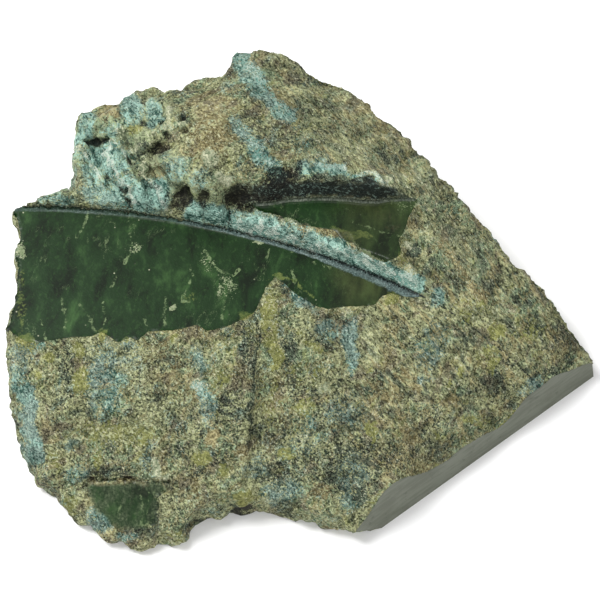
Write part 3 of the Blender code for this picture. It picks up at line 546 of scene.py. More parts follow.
def wall_rings(rims, levels):
    """The wall's plan at each level: an array of levels by points by x, y."""
    count = len(rims)
    plan, edge, sawn = rims[:, :2], rims[:, 2], rims[:, 3] > 0.5
    _, saw_normal, lean = saw_plane()
    ends = plan[sawn][[0, -1]]
    step = np.median(np.hypot(*(plan[1:] - plan[:-1]).T))
    even = plan.copy()
    for _ in range(max(1, round((EVEN_REACH / step) ** 2))):
        mean = (np.roll(even, 1, 0) + 2.0 * even + np.roll(even, -1, 0)) / 4.0
        even = np.where(sawn[:, None], plan, mean)
    reach = max(2, round(10.4 / WALL_STEP))
    normals = np.zeros_like(plan)
    for i in range(count):
        if sawn[i]:
            continue
        before = max(k for k in range(reach + 1) if not sawn[(i - np.arange(k + 1)) % count].any())
        after = max(k for k in range(reach + 1) if not sawn[(i + np.arange(k + 1)) % count].any())
        if before + after < 2:
            before = after = 1
        tangent = plan[(i + after) % count] - plan[(i - before) % count]
        normals[i] = np.array([-tangent[1], tangent[0]]) / np.hypot(*tangent)
    gap = np.hypot(plan[:, None, 0] - ends[None, :, 0], plan[:, None, 1] - ends[None, :, 1])
    share = np.max(smooth(CORNER_REACH, 0.0, gap), axis=1)
    beside_end = smooth(11.0, 0.0, gap[:, 1])
    back = np.maximum(normals[:, 1], 0.0)
    rings = []
    at_edge = wall_noise(plan[:, 0], plan[:, 1], edge)
    for z in levels:
        over = np.clip(z - edge, 0.0, LEAN_REACH)
        above = -np.where(edge < 14.0, 0.16, 0.05) * over
        depth = np.clip(1.0 - z / np.maximum(edge, 1.0), 0.0, 1.0)
        below = 0.10 * edge * back * np.sin(math.pi * depth) - BASE_INSET * depth**2.2
        off = np.where(z >= edge, above, below)
        most = np.where(z >= edge, 0.2 * (z - edge), (0.03 + 0.4 * back) * (edge - z))
        noise = wall_noise(plan[:, 0], plan[:, 1], np.minimum(z, edge + LEAN_REACH))
        off = np.minimum(off + WALL_ROUGH * (noise - at_edge), most) * (1.0 - 0.7 * share)
        ease = 0.85 * smooth(0.0, EVEN_DEPTH, np.abs(z - edge)) * (1.0 - share)
        follow = -lean * min(max(z, 0.0), SAW_REACH) * share
        tucked = -1.1 * np.maximum(edge - z, 0.0) * beside_end
        placed = plan + ease[:, None] * (even - plan) + normals * (off + 0.5 * tucked)[:, None]
        placed = placed + saw_normal * (follow + 0.5 * tucked)[:, None]
        saw_off = np.where(z >= edge, -lean * np.minimum(z - edge, SAW_REACH), -1.1 * (edge - z))
        rings.append(np.where(sawn[:, None], plan + saw_normal * saw_off[:, None], placed))
    return np.array(rings)


# ---------------------------------------------------------------- markings

# Patches: (u, v, half length, half width, turn in degrees, strength) on the sketch.
PATCHES = {
    "teal": [
        (88, 128, 10, 24, 0, 0.75), (112, 130, 10, 9, 0, 0.6), (132, 110, 13, 16, 0, 0.8), (153, 116, 9, 15, 0, 0.8),
        (108, 160, 28, 20, 0, 0.72), (94, 176, 13, 22, 0, 0.66), (122, 192, 42, 18, 0, 0.72), (150, 196, 22, 18, 0, 1.0),
        (176, 172, 14, 14, 0, 0.5), (200, 178, 12, 10, 0, 0.45), (55, 200, 22, 7, 0, 0.6), (20, 366, 10, 14, 0, 0.55),
        (34, 345, 10, 8, 0, 0.45), (104, 380, 20, 38, 0, 0.62), (198, 358, 8, 16, 0, 0.55), (206, 402, 13, 26, -20, 0.6),
        (350, 346, 8, 32, 0, 0.9), (330, 328, 14, 14, 0, 0.5), (300, 297, 22, 9, 45, 0.7), (438, 296, 8, 12, 0, 0.7),
        (432, 342, 18, 30, 20, 0.42), (532, 388, 13, 9, -30, 0.6), (345, 412, 20, 22, 0, 0.45), (282, 492, 22, 12, 0, 0.6),
        (302, 442, 30, 24, 0, 0.22), (100, 521, 13, 12, 40, 0.75), (126, 539, 12, 6, 0, 0.6), (70, 448, 12, 8, 0, 0.4),
        (78, 473, 15, 8, 0, 0.5), (146, 459, 8, 9, 0, 0.5), (258, 466, 9, 14, 0, 0.5), (350, 500, 12, 9, 0, 0.5),
        (132, 352, 14, 12, 0, 0.35), (62, 500, 5, 8, 0, 0.5), (24, 252, 8, 14, 0, 0.7), (310, 432, 10, 18, 0, 0.35),
        (300, 140, 20, 14, 50, 0.2), (322, 160, 14, 8, 30, 0.35), (230, 88, 9, 8, 0, 0.3), (378, 130, 14, 8, 40, 0.1),
        (428, 360, 12, 12, 0, 0.5), (426, 378, 9, 7, 0, 0.45), (352, 474, 16, 24, 0, 0.36),
    ],
    # Pale marks: whitish patina and crystal, and painted light where light falls on the ridge and the upper skin.
    "pale_and_lit": [
        (169, 115, 5, 4, 0, 0.8), (183, 125, 4, 5, 0, 0.75), (172, 128, 5, 3, 30, 0.75), (190, 139, 4, 3, 0, 0.6), (291, 165, 4, 3, 0, 0.7),
        (174, 126, 16, 12, 0, 0.42), (112, 143, 6, 5, 0, 0.6), (144, 167, 5, 9, -20, 0.95), (122, 133, 7, 6, 0, 0.5),
        (132, 147, 9, 6, 0, 0.45), (210, 158, 9, 11, 30, 0.75), (221, 178, 9, 7, 0, 0.7), (237, 187, 7, 5, 0, 0.7),
        (258, 156, 5, 5, 0, 0.6), (388, 183, 5, 4, 30, 0.9), (197, 385, 7, 9, -40, 0.95), (157, 466, 5, 10, -28, 0.95),
        (167, 474, 5, 3, 0, 0.8), (345, 312, 5, 8, 0, 0.65), (324, 390, 6, 5, 0, 0.5), (408, 245, 4, 5, 0, 0.9),
        (408, 272, 9, 12, -50, 0.6), (242, 60, 5, 7, 0, 0.5), (134, 248, 6, 7, 0, 0.5), (172, 307, 6, 3, -25, 0.95),
        (205, 263, 9, 10, 30, 0.42), (229, 288, 12, 12, 0, 0.4), (24, 250, 6, 10, 0, 0.6), (96, 512, 6, 8, -30, 0.5),
        (120, 205, 10, 5, 0, 0.35), (36, 348, 6, 6, 0, 0.35), (104, 350, 9, 12, 0, 0.3), (416, 180, 3, 9, -25, 0.6),
        (360, 425, 6, 5, 0, 0.3), (327, 461, 2.4, 2.4, 0, 1.0), (453, 414, 6, 8, 0, 0.35), (170, 535, 4, 7, 30, 0.5),
        # The broad faint patches below are painted light on the upper skin.
        (335, 125, 60, 34, 30, 0.27), (400, 180, 44, 30, 40, 0.27), (465, 262, 44, 24, 50, 0.27), (446, 235, 20, 16, 50, 0.30),
    ],
    "yellow": [
        (24, 342, 9, 10, 0, 0.85), (46, 355, 6, 6, 30, 0.8), (40, 376, 5, 5, 0, 0.75), (82, 380, 8, 15, 0, 0.85),
        (78, 352, 8, 12, 0, 0.6), (102, 335, 6, 7, 0, 0.85), (128, 341, 5, 4, 0, 0.8), (176, 335, 5, 6, 0, 0.8),
        (243, 317, 8, 5, -25, 1.0), (269, 325, 9, 40, 0, 0.62), (275, 360, 7, 11, 0, 0.95), (200, 459, 12, 9, 0, 0.85),
        (243, 496, 9, 7, 0, 0.9), (226, 471, 9, 9, 0, 0.6), (115, 436, 52, 16, 0, 0.42), (140, 440, 14, 12, 0, 0.5),
        (220, 374, 18, 14, 0, 0.5), (391, 301, 7, 8, 0, 0.95), (497, 330, 10, 10, 0, 0.75), (492, 354, 8, 12, 0, 0.65),
        (461, 372, 5, 5, 0, 0.7), (370, 425, 6, 12, 0, 0.7), (307, 408, 12, 10, 0, 0.6), (288, 456, 9, 6, 0, 0.7),
        (346, 236, 14, 5, 20, 0.6), (138, 132, 9, 7, 0, 0.75), (412, 282, 10, 12, -40, 0.5), (190, 296, 9, 8, 0, 0.42),
        (70, 506, 12, 11, 0, 0.6), (170, 535, 14, 6, 0, 0.4), (310, 372, 24, 12, 0, 0.4), (530, 330, 20, 14, 0, 0.35),
        (470, 310, 16, 14, 0, 0.4), (98, 460, 6, 8, 0, 0.6), (55, 460, 12, 10, 0, 0.4),
        (232, 345, 9, 16, 0, 0.3), (360, 235, 11, 4, 12, 0.9), (403, 260, 12, 7, 40, 0.45), (20, 300, 4, 40, 0, 0.42),
        (270, 400, 14, 26, 0, 0.35), (250, 330, 4, 14, 0, 0.4),
        (371, 370, 4, 4, 0, 0.75), (371, 432, 4, 14, 0, 0.6), (437, 437, 4, 5, 0, 0.6), (449, 381, 4, 4, 0, 0.65), (476, 421, 17, 6, 20, 0.55),
        (504, 425, 11, 4, -40, 0.6), (491, 358, 6, 15, 0, 0.75),
    ],
    "tan": [
        (213, 134, 24, 32, 30, 0.62), (382, 124, 9, 6, 30, 0.55), (214, 438, 9, 10, 0, 1.0), (243, 451, 8, 9, 0, 0.65),
        (196, 500, 9, 16, 0, 0.45), (322, 490, 12, 9, 0, 0.5), (420, 467, 16, 9, -30, 0.5), (388, 395, 18, 12, 40, 0.4),
        (408, 437, 10, 18, 50, 0.4), (408, 372, 12, 5, 35, 0.6), (158, 172, 8, 10, 0, 0.5), (108, 113, 12, 7, 0, 0.7),
        (300, 232, 7, 10, 30, 0.7), (126, 203, 8, 8, 0, 0.5), (504, 410, 16, 10, 30, 0.4), (275, 395, 20, 34, 0, 0.25),
        (160, 352, 30, 14, 0, 0.3), (465, 300, 12, 10, 40, 0.5), (350, 120, 40, 24, 40, 0.2), (128, 148, 8, 6, 0, 0.5),
        (180, 380, 16, 20, 0, 0.25), (82, 425, 22, 8, 0, 0.3),
    ],
    # Dark patches: partly dark green stone, partly painted shade in the recesses of the broken faces and on faces
    # turned from the light.
    "dark_and_shade": [
        (118, 116, 9, 7, 0, 0.6), (101, 164, 8, 18, -20, 0.6), (128, 176, 6, 16, -25, 0.6), (144, 150, 12, 9, 0, 0.6), (166, 166, 8, 10, 0, 0.5),
        (400, 455, 30, 20, 0, 0.4), (230, 440, 12, 30, 0, 0.35), (320, 400, 34, 16, 0, 0.35), (110, 410, 30, 9, 0, 0.3), (545, 375, 24, 8, -38, 0.45),
        (67, 364, 9, 32, 0, 0.55), (289, 348, 12, 17, 0, 0.75), (350, 470, 34, 34, 0, 0.6), (285, 470, 36, 28, 0, 0.42),
        (292, 386, 22, 11, 0, 0.45), (235, 404, 14, 18, 0, 0.5), (248, 350, 8, 34, 0, 0.55), (155, 350, 34, 9, 0, 0.3), (205, 420, 26, 16, 0, 0.3), (150, 480, 30, 6, 0, 0.3), (113, 447, 9, 8, 0, 0.7),
        (202, 435, 5, 12, 0, 0.6), (193, 473, 13, 9, 0, 0.5), (322, 432, 20, 26, 0, 0.35), (363, 497, 8, 7, 0, 1.0),
        (352, 470, 12, 14, 0, 0.6), (40, 456, 6, 14, 0, 0.5), (500, 370, 20, 12, 30, 0.35), (432, 412, 26, 14, 50, 0.35),
        (415, 249, 6, 9, 0, 0.95), (440, 200, 20, 8, 50, 0.2), (104, 152, 8, 6, 0, 0.8), (190, 510, 26, 20, 0, 0.3),
        (120, 474, 30, 6, 0, 0.45), (405, 335, 20, 22, 0, 0.3), (560, 350, 24, 10, 45, 0.3), (300, 80, 14, 22, -20, 0.25),
        (155, 490, 6, 7, 0, 0.9), (152, 515, 5, 14, 0, 0.7), (140, 365, 20, 20, 0, 0.25), (60, 400, 14, 12, 0, 0.4),
        (480, 250, 24, 10, 50, 0.25), (310, 375, 30, 12, 0, 0.25), (172, 118, 6, 6, 0, 0.3), (275, 430, 12, 12, 0, 0.4),
        (220, 470, 26, 22, 0, 0.34), (310, 450, 44, 34, 0, 0.30), (274, 330, 9, 26, 0, 0.32),
    ],
    # Painted shade: dark spots where crevices, overhangs and the gap under the bottom edge lie in shadow.
    "hollow_shade": [
        (181, 117, 3.5, 4, 0, 0.75), (166, 135, 4, 3, 0, 0.7), (187, 131, 3, 3, 0, 0.6), (161, 122, 3, 4, 0, 0.6), (216, 168, 4, 3, 30, 0.5),
        (105, 121, 5, 3, 30, 0.55), (130, 160, 3, 6, -25, 0.6), (112, 176, 2.5, 8, -22, 0.6), (140, 172, 3, 6, -25, 0.5), (270, 172, 8, 4, -30, 0.6),
        (236, 195, 14, 11, 0, 1.0), (182, 199, 11, 12, 0, 0.95), (204, 197, 6, 10, 0, 0.8), (95, 141, 9, 5, 0, 0.85),
        (156, 149, 11, 7, -30, 0.75), (243, 508, 15, 4, -8, 1.0), (147, 125, 8, 6, 30, 0.5), (168, 196, 4, 8, 0, 0.5), (278, 178, 20, 10, -18, 0.85), (296, 167, 6, 5, 0, 0.6), (340, 181, 20, 2.5, 5, 0.5), (258, 197, 26, 4, -4, 0.9), (146, 102, 3, 6, 0, 0.5),
        (152, 186, 5, 7, -30, 0.45), (262, 204, 26, 2.2, -4, 0.6),
    ],
    "fresh": [
        (112, 150, 46, 52, 0, 1.0), (148, 184, 40, 32, 0, 1.0), (196, 192, 36, 22, 0, 0.8), (55, 200, 26, 9, 0, 0.7),
        (150, 115, 24, 20, 0, 0.6),
    ],
    "fibre": [(470, 340, 130, 120, 0, 1.0), (380, 170, 90, 70, 40, 0.75), (300, 90, 50, 40, 0, 0.6), (390, 440, 60, 60, 0, 0.9)],
}  # fmt: skip

# Streaks: (u, v, u, v, half width, strength).
STREAKS = {
    "teal": [
        (241, 58, 262, 93, 11, 0.8), (262, 93, 288, 117, 9, 0.8), (234, 120, 257, 150, 8, 0.75), (257, 150, 277, 177, 10, 0.8),
        (196, 211, 260, 226, 12, 0.95), (255, 223, 330, 249, 13, 1.0), (330, 249, 414, 285, 11, 1.0), (298, 167, 346, 170, 5, 0.8),
        (346, 175, 390, 184, 3, 0.5), (20, 350, 24, 396, 9, 0.55), (26, 394, 35, 458, 9, 0.95),
    ],
    "pale_and_lit": [
        (106, 143, 120, 167, 1.8, 0.85), (120, 167, 134, 199, 1.9, 0.9), (122, 145, 130, 163, 1.6, 0.8),
        (149, 176, 172, 212, 2.0, 0.95), (84, 150, 98, 180, 2.2, 0.7), (320, 166, 343, 168, 2.0, 0.8), (262, 214, 263, 234, 1.8, 0.7),
        # The broad streaks on the next line are painted light on the ridge between the cuts and on the upper skin.
        (232, 221, 300, 242, 5.6, 0.74), (300, 241, 356, 259, 5.2, 0.70), (352, 253, 412, 284, 6.0, 0.76), (246, 60, 284, 112, 6.0, 0.56), (238, 122, 274, 172, 5.0, 0.46), (226, 216, 262, 214, 3.0, 0.5), (282, 217, 314, 229, 2.0, 0.6),
        (90, 168, 104, 192, 1.5, 0.5), (168, 150, 178, 178, 1.5, 0.3), (60, 197, 78, 192, 1.5, 0.4), (343, 168, 357, 175, 1.9, 0.8), (357, 176, 377, 180, 1.9, 0.8), (377, 180, 391, 185, 1.9, 0.85), (391, 185, 393, 191, 1.6, 0.8), (256, 238, 318, 254, 2.0, 0.8), (349, 234, 367, 255, 1.7, 0.85), (282, 222, 270, 244, 1.6, 0.6),
    ],
    "tan": [
        (366, 380, 392, 398, 2.8, 0.6), (395, 374, 418, 392, 2.2, 0.7), (388, 393, 409, 428, 2.4, 0.6), (402, 424, 411, 462, 2.2, 0.55),
        (390, 414, 402, 470, 1.8, 0.5), (416, 479, 446, 467, 3.6, 0.55),
        (291, 226, 305, 243, 3.6, 0.85), (318, 231, 350, 238, 3.6, 0.8), (350, 238, 356, 250, 2.6, 0.7), (400, 262, 418, 284, 4, 0.6), (380, 212, 402, 236, 7.0, 0.16), (444, 240, 462, 268, 4.5, 0.8), (462, 268, 480, 298, 5, 0.85), (90, 483, 146, 483, 3.5, 0.8)],
    "yellow": [
        (366, 504, 385, 492, 1.3, 0.6), (385, 492, 403, 480, 1.3, 0.6), (403, 480, 424, 476, 1.3, 0.7), (424, 476, 447, 465, 1.5, 0.7),
        (460, 454, 478, 440, 1.3, 0.6), (478, 440, 494, 431, 1.5, 0.7), (494, 431, 506, 421, 1.5, 0.7), (506, 421, 519, 405, 1.3, 0.6), (519, 405, 535, 393, 1.3, 0.6),
        (275, 280, 296, 285, 1.2, 0.95), (296, 285, 312, 297, 1.2, 0.9), (300, 334, 322, 350, 4, 0.6), (332, 229, 346, 236, 3, 0.8)],
    # Dark streaks: painted shade along the crease and under the lip of the second cut, and dark green stone on the
    # ridge.
    "dark_and_shade": [
        (431, 402, 440, 436, 4.5, 0.45), (379, 406, 391, 438, 2.8, 0.5), (413, 398, 420, 420, 2.6, 0.4),
        (285, 174, 345, 178, 3.5, 0.9), (345, 180, 388, 187, 2.6, 0.85), (234, 213, 268, 217, 3.2, 0.6), (299, 223, 312, 238, 3.4, 0.65), (322, 246, 346, 257, 3.4, 0.5), (254, 312, 258, 340, 1.6, 0.8), (258, 340, 252, 386, 1.6, 0.85), (252, 386, 246, 440, 1.6, 0.7), (201, 366, 216, 370, 1.5, 0.7)],
    # Painted shade along the cracks, the step over the small window and under the second cut's wall.
    "hollow_shade": [
        (58, 485, 87, 487, 1.3, 1.0), (87, 487, 90, 480, 1.3, 1.0), (90, 480, 140, 480.5, 1.2, 0.95), (119, 182, 131, 202, 2.2, 0.8),
        (228, 206, 224, 226, 1.8, 0.6), (286, 203.4, 240, 208, 1.4, 0.5),
    ],
    "bare": [
        (291, 226, 305, 243, 3.0, 0.8), (318, 231, 348, 238, 3.2, 0.8), (350, 240, 356, 250, 2.2, 0.6), (234, 213, 266, 217, 2.8, 0.6),
        (299, 223, 312, 238, 2.8, 0.6), (322, 246, 346, 257, 2.8, 0.5),
    ],
    "fresh": [(196, 212, 260, 226, 13, 1.0), (255, 223, 330, 248, 14, 1.0), (330, 248, 420, 288, 13, 1.0), (296, 170, 390, 182, 6, 1.0)],
}  # fmt: skip

# Pale veins and cloudy lines in the polished stone, as runs of sketch points.
VEINS = [
    [(88, 212), (84, 226), (77, 238), (74, 248)], [(128, 208), (129, 224), (131, 240), (134, 249), (128, 256), (124, 264)],
    [(108, 232), (106, 246), (104, 258)], [(116, 268), (115, 280), (108, 292), (102, 304), (106, 316), (102, 330)],
    [(134, 249), (141, 246)], [(166, 296), (164, 312), (165, 326)], [(190, 262), (192, 276), (186, 290), (182, 302), (200, 303)],
    [(205, 250), (212, 262), (222, 272), (234, 276), (238, 270)], [(62, 300), (66, 318), (64, 332)], [(268, 250), (267, 262)],
    [(80, 305), (90, 318), (96, 334)], [(40, 320), (46, 340)], [(145, 320), (150, 334)], [(290, 236), (291, 252)],
    [(292, 270), (296, 286), (303, 304)], [(312, 262), (330, 268)], [(214, 288), (224, 300), (222, 320)], [(146, 484), (149, 500), (147, 512), (150, 530)], [(154, 484), (155, 498), (152, 514), (155, 524)], [(161, 484), (160, 500), (164, 512)], [(141, 496), (143, 512), (140, 530)],
    [(112, 492), (120, 505), (118, 522)], [(118, 530), (150, 524)], [(352, 222), (382, 232), (400, 236)],
]  # fmt: skip

# Rounded nubs of skin along the window's front edge: (u, v, height over the base, radius, rise), in mm.
NUBS = [
    (24, 342, 38, 3.6, 0.9), (46, 355, 37, 2.6, 0.7), (102, 335, 40, 2.6, 0.9), (128, 341, 40, 1.9, 0.6), (176, 335, 40, 2.3, 0.8),
    (243, 317, 40, 3.0, 1.0), (391, 302, 38, 3.0, 1.0), (82, 380, 34, 4.2, 0.6), (200, 459, 23, 4.4, 0.7), (243, 496, 17, 3.6, 0.8),
    (40, 376, 34, 2.2, 0.6), (461, 372, 30, 2.2, 0.5), (275, 360, 37, 3.2, 0.5), (190, 297, 38, 2.6, 0.0), (407, 246, 43, 1.8, 0.8),
]  # fmt: skip
CRACKS = [
    ([(58, 485, 13), (66, 484, 14), (76, 486, 14), (87, 487, 14.5), (89, 481, 15.5), (104, 480, 16), (140, 480.5, 17)], 1.1, 0.8),
    ([(127, 187, 45), (130, 197, 43), (128, 206, 41)], 1.3, 0.9), ([(229, 206, 46), (226, 216, 44), (224, 227, 43)], 1.0, 0.7),
]  # fmt: skip


def seen_at(x, y, z):
    """Where a point of the block falls on the sketch."""
    tilt = math.radians(SKETCH_TILT)
    c, s = math.cos(tilt), math.sin(tilt)
    dy, dz = y + SKETCH_RANGE * c, z - SKETCH_AIM - SKETCH_RANGE * s
    depth = dy * c - dz * s
    return 300.0 + SKETCH_FOCUS * x / depth, 300.0 - SKETCH_FOCUS * (dy * s + dz * c) / depth


def marking(name, u, v):
    """How strongly one kind of marking shows at sketch points, 0 to 1."""
    value = np.zeros(np.shape(u))
    for u0, v0, long, wide, turn, strength in PATCHES.get(name, ()):
        c, s = math.cos(math.radians(turn)), math.sin(math.radians(turn))
        du, dv = u - u0, v - v0
        off = np.hypot((c * du + s * dv) / long, (c * dv - s * du) / wide)
        value = np.maximum(value, strength * smooth(1.35, 0.55, off))
    for u0, v0, u1, v1, wide, strength in STREAKS.get(name, ()):
        length = math.hypot(u1 - u0, v1 - v0)
        du, dv = (u1 - u0) / length, (v1 - v0) / length
        t = np.clip((u - u0) * du + (v - v0) * dv, 0.0, length)
        off = np.hypot(u - u0 - t * du, v - v0 - t * dv) / wide
        value = np.maximum(value, strength * smooth(1.4, 0.5, off))
    return value


# ---------------------------------------------------------------- building


def mesh_from(name, points, faces, kinds):
    """A mesh from points in mm and faces, each face with the number of its surface."""
    mesh = bpy.data.meshes.new(name)
    moved = (points - np.array([ORIGIN_X, ORIGIN_Y, 0.0])) / 1000.0
    mesh.from_pydata(moved.tolist(), [], faces)
    mesh.materials.append(None)
    mesh.materials.append(None)
    mesh.polygons.foreach_set("material_index", np.asarray(kinds, np.int32))
    mesh.update()
    item = bpy.data.objects.new(name, mesh)
    bpy.context.scene.collection.objects.link(item)
    return item


def make_top(block):
    """The height field as a closed slab."""
    reach_x, reach_y = 124.0, 106.0
    across, along_y = round(2 * reach_x / GRID_STEP) + 1, round(2 * reach_y / GRID_STEP) + 1
    gx, gy = np.meshgrid(np.linspace(-reach_x, reach_x, across), np.linspace(-reach_y, reach_y, along_y))
    xy = np.stack([gx.ravel(), gy.ravel()], 1)
    # Points next to the arc, the second cut's line and the small window's edge slide onto them, so all stay crisp.
    away = block.behind_1(xy[:, 0], xy[:, 1])
    radial = (xy - block.centre) / np.hypot(*(xy - block.centre).T)[:, None]
    xy = np.where((np.abs(away) < 0.5 * GRID_STEP)[:, None], xy - radial * away[:, None], xy)
    for field in (block.behind_2, lambda x, y: inside_of(block.window_3, x, y)):
        away = field(xy[:, 0], xy[:, 1])
        near = np.flatnonzero(np.abs(away) < 0.5 * GRID_STEP)
        px, py = xy[near].T
        slope = np.stack([field(px + 0.05, py) - field(px - 0.05, py), field(px, py + 0.05) - field(px, py - 0.05)], 1) / 0.1
        slope /= np.maximum(np.hypot(*slope.T), 0.5)[:, None]
        xy[near] -= slope * away[near][:, None]
    z = np.maximum(block.top(xy[:, 0], xy[:, 1]), 2.0)
    points = np.column_stack([xy, z])
    index = np.arange(across * along_y).reshape(along_y, across)
    quads = np.stack([index[:-1, :-1], index[:-1, 1:], index[1:, 1:], index[1:, :-1]], -1).reshape(-1, 4).tolist()
    first = len(points)
    corners = np.array([(-reach_x, -reach_y), (reach_x, -reach_y), (reach_x, reach_y), (-reach_x, reach_y)])
    points = np.vstack([points, np.column_stack([corners, np.full(4, SKIRT)])])
    quads.append([first + 3, first + 2, first + 1, first])
    quads.append([first, first + 1, *index[0, ::-1].tolist()])
    quads.append([first + 1, first + 2, *index[::-1, -1].tolist()])
    quads.append([first + 2, first + 3, *index[-1, :].tolist()])
    quads.append([first + 3, first, *index[:, 0].tolist()])
    return mesh_from("jade_boulder_skin", points, quads, np.zeros(len(quads)))


def make_wall():
    """The rim's outline, ringed at each level and shaped to the broken wall, as a closed solid."""
    rims = outline(WALL_STEP)
    rings = wall_rings(rims, WALL_LEVELS)
    count, levels = len(rims), len(WALL_LEVELS)
    points = np.concatenate([np.column_stack([ring, np.full(count, z)]) for ring, z in zip(rings, WALL_LEVELS, strict=True)])
    index = np.arange(count * levels).reshape(levels, count)
    beside = np.roll(index, -1, 1)
    quads = np.stack([index[:-1], index[1:], beside[1:], beside[:-1]], -1).reshape(-1, 4).tolist()
    kinds = [1] * len(quads)
    quads += [index[0].tolist(), index[-1, ::-1].tolist()]
    return mesh_from("rim_wall", points, quads, [*kinds, 1, 1])


def trimmed(block):
    """The slab cut to the wall: one closed mesh, each face numbered 0 for the top and 1 for the wall and base."""
    top, wall = make_top(block), make_wall()
    trim = top.modifiers.new("trim_to_rim", "BOOLEAN")
    trim.operation = "INTERSECT"
    trim.solver = "MANIFOLD"
    trim.object = wall
    graph = bpy.context.evaluated_depsgraph_get()
    mesh = bpy.data.meshes.new_from_object(top.evaluated_get(graph))
    for item in (top, wall):
        bpy.data.objects.remove(item, do_unlink=True)
    bm = bmesh.new()
    bm.from_mesh(mesh)
    bmesh.ops.dissolve_degenerate(bm, edges=bm.edges, dist=0.00006)
    bmesh.ops.triangulate(bm, faces=[f for f in bm.faces if len(f.verts) > 4])
    bm.to_mesh(mesh)
    bm.free()
    return mesh


def corner_faces(mesh):
    """For each face corner its face and its vertex."""
    starts = np.zeros(len(mesh.polygons), np.int64)
    sizes = np.zeros(len(mesh.polygons), np.int64)
    mesh.polygons.foreach_get("loop_start", starts)
    mesh.polygons.foreach_get("loop_total", sizes)
    verts = np.zeros(len(mesh.loops), np.int64)
    mesh.loops.foreach_get("vertex_index", verts)
    return np.repeat(np.arange(len(sizes)), sizes), verts


def fields_of(block, x, y, z, wall):
    """Signed distances to the edges of the cuts, in mm, positive inside each window."""
    window_1 = block.window_1
    skin = block.skin(x, y)
    floor_2 = level(block.cut_2, x, y)
    behind_1, behind_2 = block.behind_1(x, y), block.behind_2(x, y)
    front = lay_on(block.cut_1, CUT_1_FRONT)
    ahead = np.abs(along(front, x, y)[0])
    out_1 = inside_of(window_1, x, y)
    away = wall > 0.5
    vein = np.full(np.shape(x), 9.0)
    for run in VEINS:
        plane = block.cut_3 if run[0][1] > 480 else block.cut_2 if run[0][0] > 345 else block.cut_1
        vein = np.minimum(vein, np.abs(along(lay_on(plane, run), x, y)[0]))
    return {
        "vein": vein,
        "arc": np.clip(-behind_1, -12.0, 12.0),
        "line": np.clip(-behind_2, -12.0, 12.0),
        "front_1": np.where(away, -3.0, np.clip(np.where((out_1 < 0.0) | ((behind_1 > 0.0) & (behind_1 < 3.0)), ahead, -np.abs(out_1)), -12.0, 12.0)),
        "front_2": np.where(away | (behind_1 < 0.5), -3.0, np.clip(skin - floor_2, -3.0, 3.0)),
        "front_3": np.where(away, -3.0, np.clip(-inside_of(block.window_3, x, y), -12.0, 12.0)),
    }


def relief(x, y, z, marks, flat, wall, rim, narrow):
    """The fine relief of the skin and of the broken faces: mm along the normal, and a share from trough to crest that
    the material uses for painted shade and light.
    """
    skin = 0.55 * grain(x, y, z, 5.2, 201) + 0.38 * grain(x, y, z, 2.7, 203) + 0.26 * grain(x, y, z, 1.6, 207)
    skin = skin + 0.55 * (0.3 - np.abs(grain(x, y, z, 11.0, 205)))
    pits = -0.45 * smooth(0.28, 0.62, grain(x, y, z, 3.4, 211))
    # Fibres run down to the right on the sketch.
    c, s = math.cos(math.radians(-50.0)), math.sin(math.radians(-50.0))
    run, over = c * x + s * y, c * y - s * x
    fibre = 0.34 * (0.5 - np.abs(grain(run * 0.22, over, z * 0.6, 2.0, 221))) + 0.22 * grain(run * 0.2, over, z, 1.5, 223)
    # Blades of crystal on the broken faces stand nearly upright on the sketch.
    c, s = math.cos(math.radians(-62.0)), math.sin(math.radians(-62.0))
    run, over = c * x + s * y, c * y - s * x
    blades = 7.5 * (0.30 - np.abs(grain(run * 0.42, over, z * 0.4, 9.5, 229)))
    blades = blades + 3.4 * (0.34 - np.abs(grain(run * 0.3, over, z * 0.5, 4.6, 231)))
    blades = blades + 1.4 * (0.34 - np.abs(grain(run * 0.34, over, z, 2.3, 233))) + 0.3 * grain(x, y, z, 1.5, 237)
    facets = 3.0 * (0.3 - np.abs(grain(x + 0.3 * z, y, z, 8.5, 241))) + 2.0 * (0.3 - np.abs(grain(x, y + 0.3 * z, z, 4.0, 243)))
    fresh = marks["fresh"]
    total = skin + pits * (1.0 - fresh) + fibre * marks["fibre"] * (1.0 - fresh)
    total = total + blades * fresh * narrow + facets * np.maximum(wall, rim) * (1.0 - 0.5 * fresh)
    total = total + (1.5 * marks["pale_and_lit"] * fresh - 2.4 * marks["hollow_shade"]) * narrow * (1.0 - wall)
    for u, v, height, radius, rise in NUBS:
        nx, ny = (float(a) for a in lay(u, v, height))
        off = np.hypot(x - nx, y - ny) / radius * (1.0 + 0.25 * grain(x, y, z, 3.0, 251))
        total = total + rise * np.sqrt(np.clip(1.0 - off * off, 0.0, 1.0))
    for points, wide, deep in CRACKS:
        off = np.abs(along(lay_points(points), x, y)[0]) + 0.3 * grain(x, y, z, 2.0, 261)
        total = total - deep * smooth(wide, 0.15, off)
    crest = np.clip((total + 0.12) / (0.65 + 1.5 * fresh + 0.9 * np.maximum(wall, rim)), -1.0, 0.5)
    return total * (1.0 - flat), crest * (1.0 - flat)


